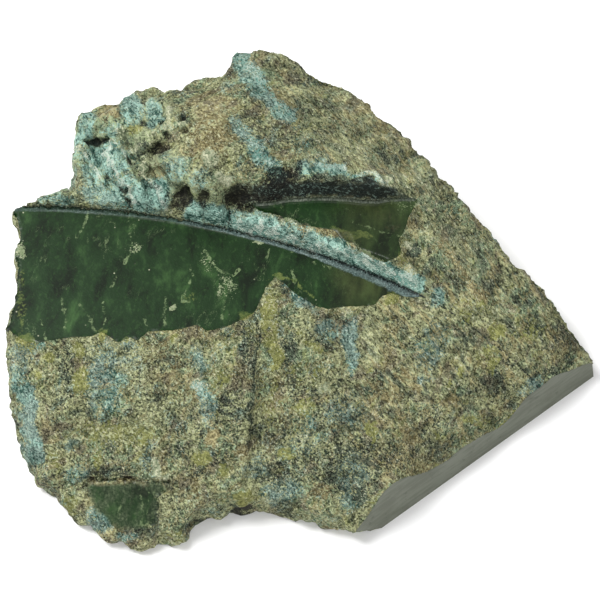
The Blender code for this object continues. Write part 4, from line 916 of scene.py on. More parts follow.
def dress(mesh, block):
    """Adds the fine relief, the attributes that the material reads, and the laid-out texture coordinates."""
    count = len(mesh.vertices)
    flat_points = np.zeros(count * 3)
    mesh.vertices.foreach_get("co", flat_points)
    points = flat_points.reshape(-1, 3) * 1000.0 + np.array([ORIGIN_X, ORIGIN_Y, 0.0])
    flat_normals = np.zeros(count * 3)
    mesh.vertex_normals.foreach_get("vector", flat_normals)
    normals = flat_normals.reshape(-1, 3)
    x, y, z = points.T
    face_kind = np.zeros(len(mesh.polygons), np.int32)
    mesh.polygons.foreach_get("material_index", face_kind)
    corner_face, corner_vert = corner_faces(mesh)
    seen = np.bincount(corner_vert, minlength=count)
    wall = np.bincount(corner_vert, weights=(face_kind[corner_face] > 0).astype(float), minlength=count) / np.maximum(seen, 1)
    saw_point, saw_normal, lean = saw_plane()
    from_saw = np.abs((x - saw_point[0]) * saw_normal[0] + (y - saw_point[1]) * saw_normal[1] + lean * np.minimum(z, SAW_REACH))
    ends = np.stack([lay(*SAWN_EDGE[0]), lay(*SAWN_EDGE[3])])
    beside = along(ends, x, y)[1]
    sawn = (from_saw < 0.06) & (wall > 0.1) & (beside > 0.0) & (beside < 1.0)
    base = z < 0.01
    fields = fields_of(block, x, y, z, wall)
    # The markings, bent by noise. On walls turned away from the sketch they are scattered instead.
    u, v = seen_at(x, y, z)
    u = u + 6.0 * rough(x, y, z, 11.0, 91, 3) + 3.5 * rough(x, y, z, 3.6, 93, 2)
    v = v + 6.0 * rough(x, y, z, 11.0, 97, 3) + 3.5 * rough(x, y, z, 3.6, 99, 2)
    tilt = math.radians(SKETCH_TILT)
    facing = -(normals[:, 1] * math.cos(tilt) - normals[:, 2] * math.sin(tilt))
    turned = np.clip(wall * smooth(0.25, -0.05, facing), 0.0, 1.0)
    marks = {}
    for order, name in enumerate(("teal", "pale_and_lit", "yellow", "tan", "dark_and_shade", "hollow_shade", "fresh", "fibre")):
        drawn = marking(name, u, v)
        size, low, high, most = SCATTERED[name]
        strewn = most * smooth(low, high, rough(x, y, z * 0.8, size, 301 + 7 * order, 2))
        marks[name] = drawn * (1.0 - turned) + strewn * turned
    # Tan and dark bits show through the teal on the ridge.
    bare = 0.5 * marking("bare", u, v) * (1.0 - turned)
    for name in ("teal", "pale_and_lit", "fresh"):
        marks[name] = marks[name] * (1.0 - bare)
    window = ((fields["arc"] > 0.0) & (fields["front_1"] > 0.0)) | ((fields["line"] > 0.0) & (fields["front_2"] > 0.0))
    window = (window | (fields["front_3"] > 0.0)) & (wall < 0.5)
    kerf = (np.abs(fields["arc"]) < 1.2) & (fields["front_1"] > 0.5)
    kerf = kerf | ((np.abs(fields["line"]) < 1.6) & (fields["front_2"] > 0.0) & (fields["arc"] < -1.0))
    # The wall behind the second cut is coloured dark: its own dark stone and painted shade.
    slate_and_shade = smooth(0.15, -0.25, fields["line"]) * smooth(WALL_2_HEIGHT + 2.0, WALL_2_HEIGHT + 0.6, z - level(block.cut_2, x, y))
    slate_and_shade = slate_and_shade * (wall < 0.5) * (fields["front_2"] > 0.4) * (fields["line"] > -8.0) * smooth(226.0, 262.0, u) * smooth(408.0, 396.0, u) * smooth(-1.0, 1.6, v - np.interp(u, [340.0, 392.0, 412.0], [176.0, 187.0, 197.0]))
    flat = np.where(sawn | base | window | kerf, 1.0, 0.0)
    flat = np.maximum(flat, smooth(1.6, 0.2, z) * wall)
    flat = np.maximum(flat, np.where((wall > 0.1) & (beside > 0.0) & (beside < 1.0), smooth(1.0, 0.2, from_saw), 0.0))
    flat = np.maximum(flat, 0.6 * slate_and_shade)
    flat = np.where(window, 1.0, flat)
    rim = smooth(7.0, 1.5, np.abs(along(block.rough_rim, x, y)[0])) * (wall < 0.9)
    # The tallest blades fade out towards the arc, and the ridge between the cuts is too narrow for them.
    narrow = 0.12 + 0.88 * smooth(0.8, 6.0, block.behind_1(x, y))
    narrow = narrow * np.where(u > 205.0, 0.6, 1.0)
    raised, crest = relief(x, y, z, marks, flat, wall, rim, narrow)
    moved = points + normals * raised[:, None]
    moved[:, 2] = np.maximum(moved[:, 2], 0.0)
    mesh.vertices.foreach_set("co", ((moved - np.array([ORIGIN_X, ORIGIN_Y, 0.0])) / 1000.0).ravel())
    strip = np.interp(u, [20, 96, 130, 160, 205, 240, 300, 330, 380, 425], [1.9, 1.7, 1.2, 0.9, 1.1, 1.4, 1.6, 2.4, 3.0, 3.6])
    worn = np.interp(u, [20, 150, 200, 260, 420], [0.35, 0.45, 0.80, 0.92, 0.95])
    olive = 0.75 * smooth(318.0, 352.0, u) * (u < 440.0)
    values = {**fields, "worn": worn, "olive": olive, **marks, "sawn": (sawn | base).astype(float), "slate_and_shade": slate_and_shade, "strip": strip, "turned": turned, "crest": crest}
    for name, value in values.items():
        layer = mesh.attributes.new(name, "FLOAT", "POINT")
        layer.data.foreach_set("value", np.asarray(value, np.float32))
    lay_out(mesh, points, face_kind, corner_face, corner_vert)
    mesh.polygons.foreach_set("material_index", np.zeros(len(mesh.polygons), np.int32))
    mesh.polygons.foreach_set("use_smooth", np.ones(len(mesh.polygons), bool))
    mesh.set_sharp_from_angle(angle=math.radians(48.0))
    mesh.update()


def lay_out(mesh, points, face_kind, corner_face, corner_vert):
    """Texture coordinates: the top from above, the wall unrolled in two strips, the base small in a corner."""
    layer = mesh.uv_layers.new(name="OFBake")
    x, y, z = points.T
    faces = len(mesh.polygons)
    sizes = np.bincount(corner_face, minlength=faces)

    def mean(values):
        return np.bincount(corner_face, weights=values[corner_vert], minlength=faces) / sizes

    high = np.bincount(corner_face, weights=(z[corner_vert] > 0.01).astype(float), minlength=faces)
    base = (face_kind > 0) & (high < 0.5)
    side = (face_kind > 0) & ~base
    rims = outline(4.0)[:, :2]
    for _ in range(6):
        rims = (np.roll(rims, 1, 0) + 2.0 * rims + np.roll(rims, -1, 0)) / 4.0
    ring = np.vstack([rims, rims[:1]])
    total = float(np.hypot(*(ring[1:] - ring[:-1]).T).sum())
    low_x, low_y = x.min(), y.min()
    wide, deep = x.max() - low_x, y.max() - low_y
    scale = min(0.97 / (total / 2.0 + 4.0), 0.96 / (deep + 2.0 * (z[corner_vert].max() + 3.0)))
    coords = np.zeros((len(corner_vert), 2))
    corner_side, corner_base = side[corner_face], base[corner_face]
    coords[:, 0] = 0.01 + (x[corner_vert] - low_x) * scale
    coords[:, 1] = 0.01 + (y[corner_vert] - low_y) * scale
    small = min(scale, (0.97 - 0.02 - wide * scale) / wide)
    coords[corner_base, 0] = 0.02 + wide * scale + (x[corner_vert][corner_base] - low_x) * small
    coords[corner_base, 1] = 0.01 + (y[corner_vert][corner_base] - low_y) * small
    share = along(ring, x, y)[1]
    corner_share = share[corner_vert]
    turn = np.exp(2j * math.pi * corner_share)
    middle = np.bincount(corner_face, weights=turn.real, minlength=faces) + 1j * np.bincount(corner_face, weights=turn.imag, minlength=faces)
    middle = (np.angle(middle) / (2.0 * math.pi)) % 1.0
    near = middle[corner_face]
    corner_share = near + (corner_share - near + 0.5) % 1.0 - 0.5
    strip = np.floor(near * 2.0).clip(0, 1)
    height = z.max() + 3.0
    unrolled_u = 0.012 + (corner_share - 0.5 * strip) * total * scale
    unrolled_v = 0.02 + deep * scale + strip * height * scale + z[corner_vert] * scale
    coords[corner_side, 0] = unrolled_u[corner_side]
    coords[corner_side, 1] = unrolled_v[corner_side]
    layer.data.foreach_set("uv", np.clip(coords, 0.0, 1.0).astype(np.float32).ravel())


# ---------------------------------------------------------------- material


def tone(red, green, blue):
    """A colour given as it looks, 0 to 255, in linear light."""
    out = []
    for value in (red, green, blue):
        value = value / 255.0
        out.append((value / 12.92 if value <= 0.04045 else ((value + 0.055) / 1.055) ** 2.4) * ALBEDO)
    return (*out, 1.0)


class Shade:
    """Short ways to add shader nodes."""

    def __init__(self, material):
        material.use_nodes = True
        self.tree = material.node_tree
        self.tree.nodes.clear()

    def node(self, kind, **settings):
        node = self.tree.nodes.new(kind)
        for name, value in settings.items():
            setattr(node, name, value)
        return node

    def put(self, socket, value):
        if isinstance(value, bpy.types.NodeSocket):
            self.tree.links.new(value, socket)
        else:
            socket.default_value = value

    def math(self, operation, a, b=0.0, clamp=False):
        node = self.node("ShaderNodeMath", operation=operation, use_clamp=clamp)
        self.put(node.inputs[0], a)
        self.put(node.inputs[1], b)
        return node.outputs[0]

    def field(self, name):
        return self.node("ShaderNodeAttribute", attribute_name=name).outputs["Fac"]

    def noise(self, where, size, detail=2.0, roughness=0.5, distortion=0.0, output="Fac"):
        """Noise with features of the given size in mm."""
        node = self.node("ShaderNodeTexNoise")
        self.put(node.inputs["Vector"], where)
        node.inputs["Scale"].default_value = 1000.0 / size
        node.inputs["Detail"].default_value = detail
        node.inputs["Roughness"].default_value = roughness
        node.inputs["Distortion"].default_value = distortion
        return node.outputs[output]

    def turned(self, where, degrees, stretch, shift=0.0):
        """The place, turned about the vertical and stretched along its new first axis."""
        node = self.node("ShaderNodeMapping", vector_type="TEXTURE")
        self.put(node.inputs["Vector"], where)
        node.inputs["Rotation"].default_value = (0.0, 0.0, math.radians(degrees))
        node.inputs["Scale"].default_value = (stretch, 1.0, 1.0)
        node.inputs["Location"].default_value = (shift, shift * 0.7, shift * 0.3)
        return node.outputs["Vector"]

    def ramp(self, value, low, high, to_low=0.0, to_high=1.0, soft=True):
        node = self.node("ShaderNodeMapRange", interpolation_type="SMOOTHSTEP" if soft else "LINEAR")
        for name, item in (("Value", value), ("From Min", low), ("From Max", high), ("To Min", to_low), ("To Max", to_high)):
            self.put(node.inputs[name], item)
        return node.outputs["Result"]

    def mix(self, share, a, b, blend="MIX"):
        node = self.node("ShaderNodeMix", data_type="RGBA", blend_type=blend)
        self.put(node.inputs[0], share)
        self.put(node.inputs[6], a)
        self.put(node.inputs[7], b)
        return node.outputs[2]

    def blend(self, share, a, b):
        node = self.node("ShaderNodeMix", data_type="FLOAT")
        self.put(node.inputs[0], share)
        self.put(node.inputs[2], a)
        self.put(node.inputs[3], b)
        return node.outputs[0]

    def parts(self, colour):
        node = self.node("ShaderNodeSeparateColor")
        self.put(node.inputs[0], colour)
        return node.outputs[0], node.outputs[1], node.outputs[2]


def cover(shade, mask, noise, fine, soft=0.22):
    """How much a marking covers: a mask of 0.5 covers half of the surface, in patches broken up by the grain."""
    even = shade.math("ADD", shade.math("MULTIPLY", noise, 0.5), shade.math("MULTIPLY", fine, 0.5))
    even = shade.ramp(even, 0.36, 0.64, 0.05, 0.95, soft=False)
    cover = shade.ramp(shade.math("SUBTRACT", mask, even), -soft, soft)
    return shade.math("MULTIPLY", cover, shade.ramp(mask, 0.02, 0.20))


def jade_material():
    material = bpy.data.materials.new("rough_jade")
    s = Shade(material)
    output = s.node("ShaderNodeOutputMaterial")
    surface = s.node("ShaderNodeBsdfPrincipled")
    s.tree.links.new(surface.outputs[0], output.inputs["Surface"])
    place = s.node("ShaderNodeTexCoord").outputs["Object"]

    # Grain: round on most of the skin, in fibres on the right face.
    speck = s.noise(place, 0.60, 1.0, 0.5)
    round_grain = s.noise(place, 1.1, 2.0, 0.55, 0.4)
    fibres = s.noise(s.turned(place, -48.0, 4.6), 0.95, 2.0, 0.5, 0.4)
    short = s.noise(s.turned(place, -26.0, 2.3, 0.05), 1.1, 1.0, 0.5)
    fibre = s.field("fibre")
    fresh = s.field("fresh")
    grain_mix = s.blend(fibre, round_grain, s.math("MULTIPLY", s.math("ADD", fibres, short), 0.5))
    patch_a, patch_b, patch_c = s.parts(s.noise(place, 3.6, 4.0, 0.62, 0.4, "Color"))
    wide_a, wide_b, wide_c = s.parts(s.noise(s.turned(place, 20.0, 1.4, 0.2), 11.0, 4.0, 0.6, 0.5, "Color"))
    # Light flecks and dark pits on a middle ground, more of one or the other from place to place.
    drift = s.math("ADD", s.math("MULTIPLY", s.math("SUBTRACT", wide_a, 0.5), 0.34), s.math("MULTIPLY", s.math("SUBTRACT", patch_b, 0.5), 0.26))
    pale = s.ramp(s.math("ADD", grain_mix, drift), 0.49, 0.62)
    pit = s.ramp(s.math("SUBTRACT", s.noise(s.turned(place, -60.0, 1.6, 0.4), 0.78, 2.0, 0.5), drift), 0.53, 0.64)
    fleck = s.math("ADD", s.math("MULTIPLY", pale, 0.46), s.math("MULTIPLY", speck, 0.86))
    fleck = s.math("SUBTRACT", s.math("ADD", fleck, -0.13), s.math("MULTIPLY", pit, 0.40))
    # Painted shade and light: the skin is darker in the troughs of the relief and lighter on its crests, most on the
    # broken faces.
    fleck = s.math("ADD", fleck, s.math("MULTIPLY", s.field("crest"), s.math("ADD", 0.22, s.math("MULTIPLY", fresh, 0.30))))
    fleck = s.math("ADD", s.math("MULTIPLY", fleck, 1.16), -0.065, clamp=True)
    crystal = s.node("ShaderNodeTexVoronoi", feature="F1")
    s.put(crystal.inputs["Vector"], s.turned(place, -62.0, 1.8))
    crystal.inputs["Scale"].default_value = 1000.0 / 1.7
    facet_a, facet_b, _ = s.parts(crystal.outputs["Color"])

    teal = cover(s, s.field("teal"), patch_a, speck, 0.32)
    pale_and_lit = cover(s, s.field("pale_and_lit"), patch_b, speck, 0.12)
    yellow = cover(s, s.field("yellow"), patch_c, round_grain)
    tan = cover(s, s.field("tan"), patch_a, round_grain, 0.4)
    dark_and_shade = cover(s, s.field("dark_and_shade"), patch_c, speck)
    hollow_shade = cover(s, s.field("hollow_shade"), patch_b, speck, 0.3)

    light, deep = tone(*KHAKI_LIGHT), tone(*KHAKI_DEEP)
    stray = s.ramp(wide_b, 0.48, 0.60, 0.0, 0.8)
    light, deep = s.mix(stray, light, tone(*GREEN_LIGHT)), s.mix(stray, deep, tone(*GREEN_DEEP))
    stray = s.ramp(wide_c, 0.53, 0.66, 0.0, 0.8)
    light, deep = s.mix(stray, light, tone(*TAN_LIGHT)), s.mix(stray, deep, tone(*TAN_DEEP))
    stray = s.ramp(s.math("ADD", s.math("MULTIPLY", wide_a, 0.6), s.math("MULTIPLY", patch_c, 0.4)), 0.48, 0.41, 0.0, 0.9)
    light, deep = s.mix(stray, light, tone(*DARK_LIGHT)), s.mix(stray, deep, tone(*DARK_DEEP))
    mid_a, mid_b, mid_c = s.parts(s.noise(s.turned(place, 70.0, 1.5, 0.9), 5.5, 4.0, 0.66, 0.3, "Color"))
    stray = s.ramp(s.math("ADD", s.math("MULTIPLY", mid_a, 0.6), s.math("MULTIPLY", wide_c, 0.4)), 0.52, 0.60, 0.0, 0.85)
    light, deep = s.mix(stray, light, tone(*BROWN_LIGHT)), s.mix(stray, deep, tone(*BROWN_DEEP))
    stray = s.ramp(mid_b, 0.57, 0.66, 0.0, 0.55)
    light, deep = s.mix(stray, light, tone(*YELLOW_LIGHT)), s.mix(stray, deep, tone(*YELLOW_DEEP))
    stray = s.math("MULTIPLY", s.ramp(s.math("ADD", s.math("MULTIPLY", mid_c, 0.7), s.math("MULTIPLY", speck, 0.3)), 0.55, 0.64, 0.0, 0.75), s.math("SUBTRACT", 1.0, s.math("MULTIPLY", fibre, 0.6)))
    light, deep = s.mix(stray, light, tone(*TEAL_LIGHT)), s.mix(stray, deep, tone(*TEAL_DEEP))
    # Thin khaki webs around the darker grains.
    web = s.math("MULTIPLY", s.ramp(s.math("ABSOLUTE", s.math("SUBTRACT", mid_a, 0.5)), 0.030, 0.006), s.ramp(wide_b, 0.42, 0.58, 0.15, 0.75))
    light, deep = s.mix(web, light, tone(*TAN_LIGHT)), s.mix(web, deep, tone(*STREAK_DEEP))
    long_a, long_b, _ = s.parts(s.noise(s.turned(place, -52.0, 7.0, 0.3), 3.2, 3.0, 0.6, 0.3, "Color"))
    stray = s.math("MULTIPLY", fibre, s.ramp(long_a, 0.54, 0.64, 0.0, 0.85))
    light, deep = s.mix(stray, light, tone(*TAN_LIGHT)), s.mix(stray, deep, tone(*STREAK_DEEP))
    stray = s.math("MULTIPLY", fibre, s.ramp(long_b, 0.54, 0.64, 0.0, 0.8))
    light, deep = s.mix(stray, light, tone(*DARK_LIGHT)), s.mix(stray, deep, tone(*DARK_DEEP))
    light, deep = s.mix(s.math("MULTIPLY", fresh, 0.55), light, tone(*GREEN_LIGHT)), s.mix(s.math("MULTIPLY", fresh, 0.55), deep, tone(*GREEN_DEEP))
    # The dark marks lay both dark green stone and painted shade; tan and yellow are the stone's own colours.
    for share, pair in ((dark_and_shade, (DARK_LIGHT, DARK_DEEP)), (tan, (TAN_LIGHT, TAN_DEEP)), (yellow, (YELLOW_LIGHT, YELLOW_DEEP))):
        light, deep = s.mix(share, light, tone(*pair[0])), s.mix(share, deep, tone(*pair[1]))
    aqua = s.math("MAXIMUM", fresh, s.ramp(wide_b, 0.46, 0.60, 0.0, 0.7))
    teal_light, teal_deep = s.mix(aqua, tone(*TEAL_LIGHT), tone(*AQUA_LIGHT)), s.mix(aqua, tone(*TEAL_DEEP), tone(*AQUA_DEEP))
    light, deep = s.mix(teal, light, teal_light), s.mix(teal, deep, teal_deep)
    # Pale marks: whitish crystal and patina, partly painted light on the ridge and the upper skin.
    frost = s.mix(s.math("MULTIPLY", teal, 0.85), tone(*BRIGHT_LIGHT), tone(*FROST))
    light, deep = s.mix(pale_and_lit, light, frost), s.mix(pale_and_lit, deep, s.mix(teal, tone(*BRIGHT_DEEP), tone(*FROST_DEEP)))
    # Crystal faces catch the light by turns.
    sparkle = s.math("MULTIPLY", fresh, s.ramp(facet_a, 0.15, 0.95, -0.28, 0.52, soft=False))
    even = s.math("SUBTRACT", fleck, s.math("MULTIPLY", s.math("MULTIPLY", yellow, s.math("SUBTRACT", fleck, 0.55)), 0.25))
    skin = s.mix(s.math("ADD", even, sparkle, clamp=True), deep, light)
    glint = s.ramp(s.noise(s.turned(place, -50.0, 1.6, 1.3), 0.62, 1.0, 0.5), 0.60, 0.70, 0.0, 0.75)
    skin = s.mix(s.math("MULTIPLY", glint, s.ramp(fleck, 0.15, 0.75, 0.25, 1.0)), skin, s.mix(teal, tone(*GLINT), tone(*FROST)))
    # The wall behind the second cut: dark stone, darkened further as painted shade.
    slate_and_shade = s.mix(s.ramp(grain_mix, 0.50, 0.66), tone(*SLATE_AND_SHADE_DEEP), tone(*SLATE_AND_SHADE_LIGHT))
    skin = s.mix(s.math("MULTIPLY", s.field("slate_and_shade"), 0.95), skin, slate_and_shade)
    # Painted shade: the hollow marks turn the skin near-black in crevices, under overhangs and under the bottom edge.
    skin = s.mix(s.math("MULTIPLY", hollow_shade, 0.9), skin, s.mix(fleck, tone(*HOLLOW_SHADE_DEEP), tone(*HOLLOW_SHADE_LIGHT)))

    # The polished stone: clouds drawn out up the sketch, pale veins and specks.
    cloud = s.noise(s.turned(place, 84.0, 2.0), 8.0, 6.0, 0.66, 0.25)
    haze = s.noise(place, 30.0, 3.0, 0.5)
    cloud = s.math("ADD", s.math("MULTIPLY", cloud, 0.75), s.math("MULTIPLY", haze, 0.25))
    stone = s.mix(s.ramp(cloud, 0.36, 0.52), tone(*STONE_DEEP), tone(*STONE))
    stone = s.mix(s.ramp(cloud, 0.52, 0.68), stone, tone(*STONE_PALE))
    fine = s.noise(s.turned(place, 80.0, 1.4), 1.5, 4.0, 0.66)
    stone = s.mix(s.ramp(fine, 0.52, 0.72, 0.0, 0.42), stone, tone(*STONE_PALE))
    crooked = s.noise(s.turned(place, 76.0, 2.2, 0.1), 13.0, 6.0, 0.66, 0.2)
    thread = s.ramp(s.math("ABSOLUTE", s.math("SUBTRACT", crooked, 0.5)), 0.009, 0.0)
    thread = s.math("MULTIPLY", s.math("MULTIPLY", thread, s.ramp(wide_b, 0.48, 0.62, 0.0, 0.55)), s.ramp(speck, 0.40, 0.60, 0.2, 1.0))
    vein = s.math("ADD", s.field("vein"), s.math("MULTIPLY", s.math("SUBTRACT", patch_a, 0.5), 4.6))
    vein = s.math("MULTIPLY", s.ramp(s.math("ABSOLUTE", vein), 0.50, 0.10), s.ramp(s.math("ADD", patch_b, s.math("MULTIPLY", speck, 0.4)), 0.58, 0.82, 0.0, 0.85))
    stone = s.mix(s.math("MAXIMUM", thread, vein), stone, tone(*VEIN))
    specks = s.node("ShaderNodeTexVoronoi", feature="F1")
    s.put(specks.inputs["Vector"], place)
    specks.inputs["Scale"].default_value = 1000.0 / 4.5
    dots = s.math("MULTIPLY", s.ramp(specks.outputs["Distance"], 0.095, 0.03), s.ramp(s.parts(specks.outputs["Color"])[0], 0.60, 0.95))
    stone = s.mix(s.math("MULTIPLY", dots, 0.65), stone, tone(*BRIGHT_LIGHT))
    stone = s.mix(s.math("MULTIPLY", pale_and_lit, 0.75), stone, s.mix(fleck, tone(*VEIN), tone(*BRIGHT_LIGHT)))
    stone = s.mix(s.math("MULTIPLY", yellow, 0.62), stone, s.mix(s.ramp(s.math("ADD", patch_a, s.math("MULTIPLY", speck, 0.5)), 0.55, 0.95), tone(*GLOW_DEEP), tone(*GLOW)))
    stone = s.mix(s.math("MULTIPLY", tan, 0.6), stone, s.mix(fleck, tone(*TAN_DEEP), tone(*GROOVE_LIGHT)))
    # Dark marks over the polished stone: dark stone, and in part painted shade.
    stone = s.mix(s.math("MULTIPLY", dark_and_shade, 0.6), stone, tone(*STONE_DEEP))

    olive = s.mix(s.ramp(cloud, 0.36, 0.62), tone(*OLIVE_DEEP), tone(*OLIVE_LIGHT))
    stone = s.mix(s.math("MULTIPLY", s.field("olive"), s.ramp(haze, 0.35, 0.60, 0.45, 0.95)), stone, olive)

    # The small window is cloudier and greyer, with upright pale lines.
    within_3 = s.ramp(s.field("front_3"), -0.4, 0.2)
    mist = s.math("ADD", s.math("MULTIPLY", wide_c, 0.6), s.math("MULTIPLY", s.noise(s.turned(place, 88.0, 5.0, 0.7), 1.9, 3.0, 0.6), 0.4))
    stone = s.mix(s.math("MULTIPLY", within_3, s.ramp(mist, 0.44, 0.60, 0.12, 0.72)), stone, s.mix(fleck, tone(*MIST_DEEP), tone(*MIST_LIGHT)))
    stone = s.mix(s.math("MULTIPLY", s.math("MULTIPLY", within_3, s.ramp(s.field("front_3"), 2.2, 0.3)), s.ramp(patch_b, 0.40, 0.62, 0.25, 0.95)), stone, s.mix(fleck, deep, light))

    # The strip that the rim of the blade left along the arc, and the groove of the second cut.
    arc, line = s.field("arc"), s.field("line")
    share = s.math("DIVIDE", arc, s.field("strip"))
    ragged = s.math("MULTIPLY", s.math("SUBTRACT", patch_b, 0.5), 1.2)
    kerf = s.math("MULTIPLY", s.ramp(s.math("ADD", share, ragged), 1.15, 0.80), s.ramp(arc, -0.08, 0.04))
    across = s.math("ADD", share, s.math("MULTIPLY", s.math("SUBTRACT", patch_b, 0.5), 0.5))
    # Painted shadow: the strip is darkest at the arc, under the broken wall that stands over it.
    kerf_tone = s.mix(s.ramp(across, 0.10, 0.30), tone(*KERF_DEEP), tone(*KERF_MID))
    kerf_tone = s.mix(s.math("MULTIPLY", s.ramp(across, 0.35, 0.75, 0.0, 0.40), s.ramp(patch_b, 0.38, 0.60)), kerf_tone, tone(*KERF_LIGHT))
    kerf_tone = s.mix(s.ramp(speck, 0.58, 0.68, 0.0, 0.65), kerf_tone, tone(*KERF_LIGHT))
    kerf_tone = s.mix(s.ramp(speck, 0.46, 0.36, 0.0, 0.5), kerf_tone, tone(*KERF_DEEP))
    stone = s.mix(s.math("MULTIPLY", kerf, s.field("worn")), stone, kerf_tone)
    groove = s.math("MULTIPLY", s.ramp(s.math("ABSOLUTE", s.math("SUBTRACT", s.math("ADD", line, s.math("MULTIPLY", ragged, 0.55)), 0.30)), 0.72, 0.30), s.ramp(s.field("front_2"), 0.2, 0.5))
    groove = s.math("MULTIPLY", s.math("MULTIPLY", groove, s.ramp(arc, -0.6, -1.4)), s.ramp(s.math("ADD", patch_a, speck), 0.80, 1.10, 0.35, 0.95))
    groove_tone = s.mix(fleck, tone(*GROOVE_DEEP), tone(*GROOVE_LIGHT))

    ragged = s.math("MULTIPLY", s.math("SUBTRACT", patch_a, 0.5), 1.5)
    inside_1 = s.math("MULTIPLY", s.ramp(s.math("ADD", s.field("front_1"), ragged), -0.12, 0.12), s.ramp(arc, -0.06, 0.06))
    inside_2 = s.math("MULTIPLY", s.ramp(s.math("ADD", s.field("front_2"), s.math("MULTIPLY", ragged, 0.15)), -0.04, 0.04), s.ramp(line, -0.06, 0.06))
    inside_3 = s.ramp(s.math("ADD", s.field("front_3"), s.math("MULTIPLY", ragged, 2.2)), -0.15, 0.35)
    inside = s.math("MAXIMUM", s.math("MAXIMUM", inside_1, inside_2), inside_3)
    colour = s.mix(inside, skin, stone)
    colour = s.mix(groove, colour, groove_tone)
    # Painted shadow: a thin dark line along the arc, under the broken wall.
    edge = s.math("MULTIPLY", s.ramp(s.math("ABSOLUTE", s.math("ADD", arc, 0.12)), 0.34, 0.10), s.ramp(s.field("front_1"), 0.0, 1.0))
    colour = s.mix(s.math("MULTIPLY", edge, 0.55), colour, tone(*SLATE_AND_SHADE_DEEP))

    # The sawn side and the base.
    sawn = s.ramp(s.field("sawn"), 0.45, 0.55)
    scratch = s.noise(s.turned(place, 35.5, 9.0), 1.4, 2.0, 0.5)
    plain = s.mix(s.ramp(s.math("ADD", s.math("MULTIPLY", scratch, 0.5), s.math("MULTIPLY", wide_b, 0.5)), 0.40, 0.60), tone(*SAWN_DEEP), tone(*SAWN_LIGHT))
    plain = s.mix(s.ramp(patch_c, 0.60, 0.70, 0.0, 0.5), plain, tone(*SAWN_SPOT))
    colour = s.mix(sawn, colour, plain)
    s.put(surface.inputs["Base Color"], colour)

    # Gloss: the polished stone most, crystal faces by turns, the skin hardly.
    dull = s.ramp(fleck, 0.0, 1.0, 0.86, 0.66, soft=False)
    dull = s.blend(fresh, dull, s.ramp(facet_b, 0.0, 1.0, 0.34, 0.80, soft=False))
    sheen = s.ramp(cloud, 0.3, 0.7, 0.30, 0.42, soft=False)
    polished = s.math("MULTIPLY", inside, s.math("SUBTRACT", 1.0, s.math("MULTIPLY", kerf, 0.5)))
    rough = s.blend(polished, dull, sheen)
    rough = s.blend(sawn, rough, s.ramp(scratch, 0.3, 0.7, 0.50, 0.62, soft=False))
    s.put(surface.inputs["Roughness"], rough)
    surface.inputs["Specular IOR Level"].default_value = 0.22

    # Fine relief too small for the mesh.
    height = s.math("ADD", s.math("MULTIPLY", fleck, 0.55), s.math("MULTIPLY", speck, 0.8))
    height = s.math("ADD", height, s.math("MULTIPLY", s.math("MULTIPLY", facet_a, fresh), 0.9))
    quiet = s.math("SUBTRACT", 1.0, s.math("MAXIMUM", s.math("MULTIPLY", inside, 0.96), s.math("MULTIPLY", sawn, 0.93)))
    bump = s.node("ShaderNodeBump")
    bump.inputs["Strength"].default_value = 1.0
    bump.inputs["Distance"].default_value = 0.0005
    s.put(bump.inputs["Height"], s.math("MULTIPLY", height, quiet))
    s.put(surface.inputs["Normal"], bump.outputs["Normal"])
    return material


# ---------------------------------------------------------------- room


def floor_piece():
    mesh = bpy.data.meshes.new("floor")
    reach = 3.0
    mesh.from_pydata([(-reach, -reach, 0.0), (reach, -reach, 0.0), (reach, reach, 0.0), (-reach, reach, 0.0)], [], [(0, 1, 2, 3)])
    item = bpy.data.objects.new("floor", mesh)
    bpy.context.scene.collection.objects.link(item)
    material = bpy.data.materials.new("pale_floor")
    s = Shade(material)
    output, surface = s.node("ShaderNodeOutputMaterial"), s.node("ShaderNodeBsdfPrincipled")
    s.tree.links.new(surface.outputs[0], output.inputs["Surface"])
    place = s.node("ShaderNodeTexCoord").outputs["Object"]
    s.put(surface.inputs["Base Color"], s.mix(s.noise(place, 260.0, 2.0, 0.5), (0.90, 0.90, 0.90, 1.0), (0.93, 0.93, 0.93, 1.0)))
    surface.inputs["Roughness"].default_value = 0.9
    surface.inputs["Specular IOR Level"].default_value = 0.0
    mesh.materials.append(material)
    return item


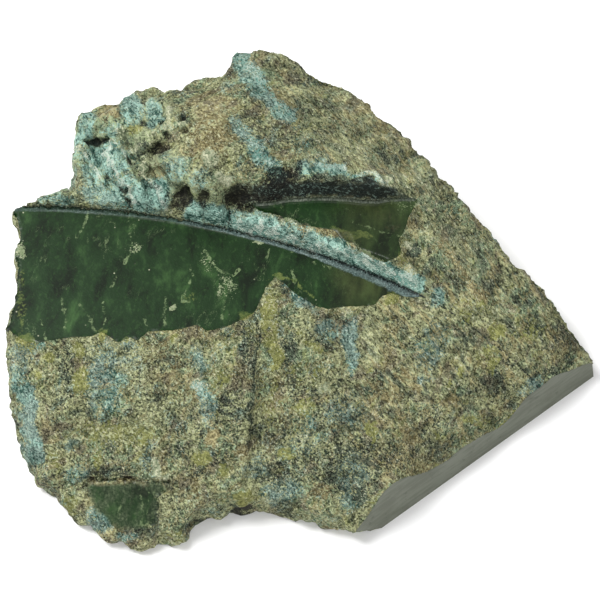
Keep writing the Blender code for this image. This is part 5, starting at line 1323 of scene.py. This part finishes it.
def area_light(name, place, aim, size, power, colour=(1.0, 1.0, 1.0)):
    light = bpy.data.lights.new(name, "AREA")
    light.shape = "DISK"
    light.size = size
    light.energy = power
    light.color = colour
    item = bpy.data.objects.new(name, light)
    bpy.context.scene.collection.objects.link(item)
    item.location = place
    item.rotation_euler = (Vector(aim) - Vector(place)).to_track_quat("-Z", "Y").to_euler()
    return item


def room():
    scene = bpy.context.scene
    world = bpy.data.worlds.new("studio")
    scene.world = world
    world.use_nodes = True
    back = world.node_tree.nodes["Background"]
    back.inputs["Color"].default_value = (1.0, 1.0, 1.0, 1.0)
    back.inputs["Strength"].default_value = WORLD_LIGHT
    area_light("key", (-0.58, 0.26, 1.12), (0.0, 0.0, 0.02), 0.62, KEY_LIGHT)
    area_light("fill", (0.10, -1.05, 0.75), (0.0, 0.0, 0.02), 0.9, FILL_LIGHT)
    scene.view_settings.view_transform = "Standard"
    scene.view_settings.look = "None"
    scene.view_settings.exposure = 0.0
    scene.view_settings.gamma = 1.0


def camera():
    lens = bpy.data.cameras.new("view")
    lens.sensor_width = 36.0
    lens.lens = SKETCH_FOCUS / 600.0 * 36.0
    lens.clip_start, lens.clip_end = 0.05, 20.0
    item = bpy.data.objects.new("view", lens)
    bpy.context.scene.collection.objects.link(item)
    tilt = math.radians(SKETCH_TILT)
    ahead = Vector((0.0, math.cos(tilt), -math.sin(tilt)))
    aim = Vector((-ORIGIN_X, -ORIGIN_Y, SKETCH_AIM)) / 1000.0
    item.location = aim - ahead * SKETCH_RANGE / 1000.0
    item.rotation_euler = ahead.to_track_quat("-Z", "Y").to_euler()
    bpy.context.scene.camera = item


# ---------------------------------------------------------------- the scene


def main():
    block = Block()
    mesh = trimmed(block)
    dress(mesh, block)
    mesh.materials.clear()
    mesh.materials.append(jade_material())
    mesh.name = "jade_boulder_stone"
    stone = bpy.data.objects.new("jade_boulder_stone", mesh)
    bpy.context.scene.collection.objects.link(stone)
    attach(stone, "root")
    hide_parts("jade_boulder")
    floor = floor_piece()
    room()
    camera()
    bpy.context.view_layer.update()


main()
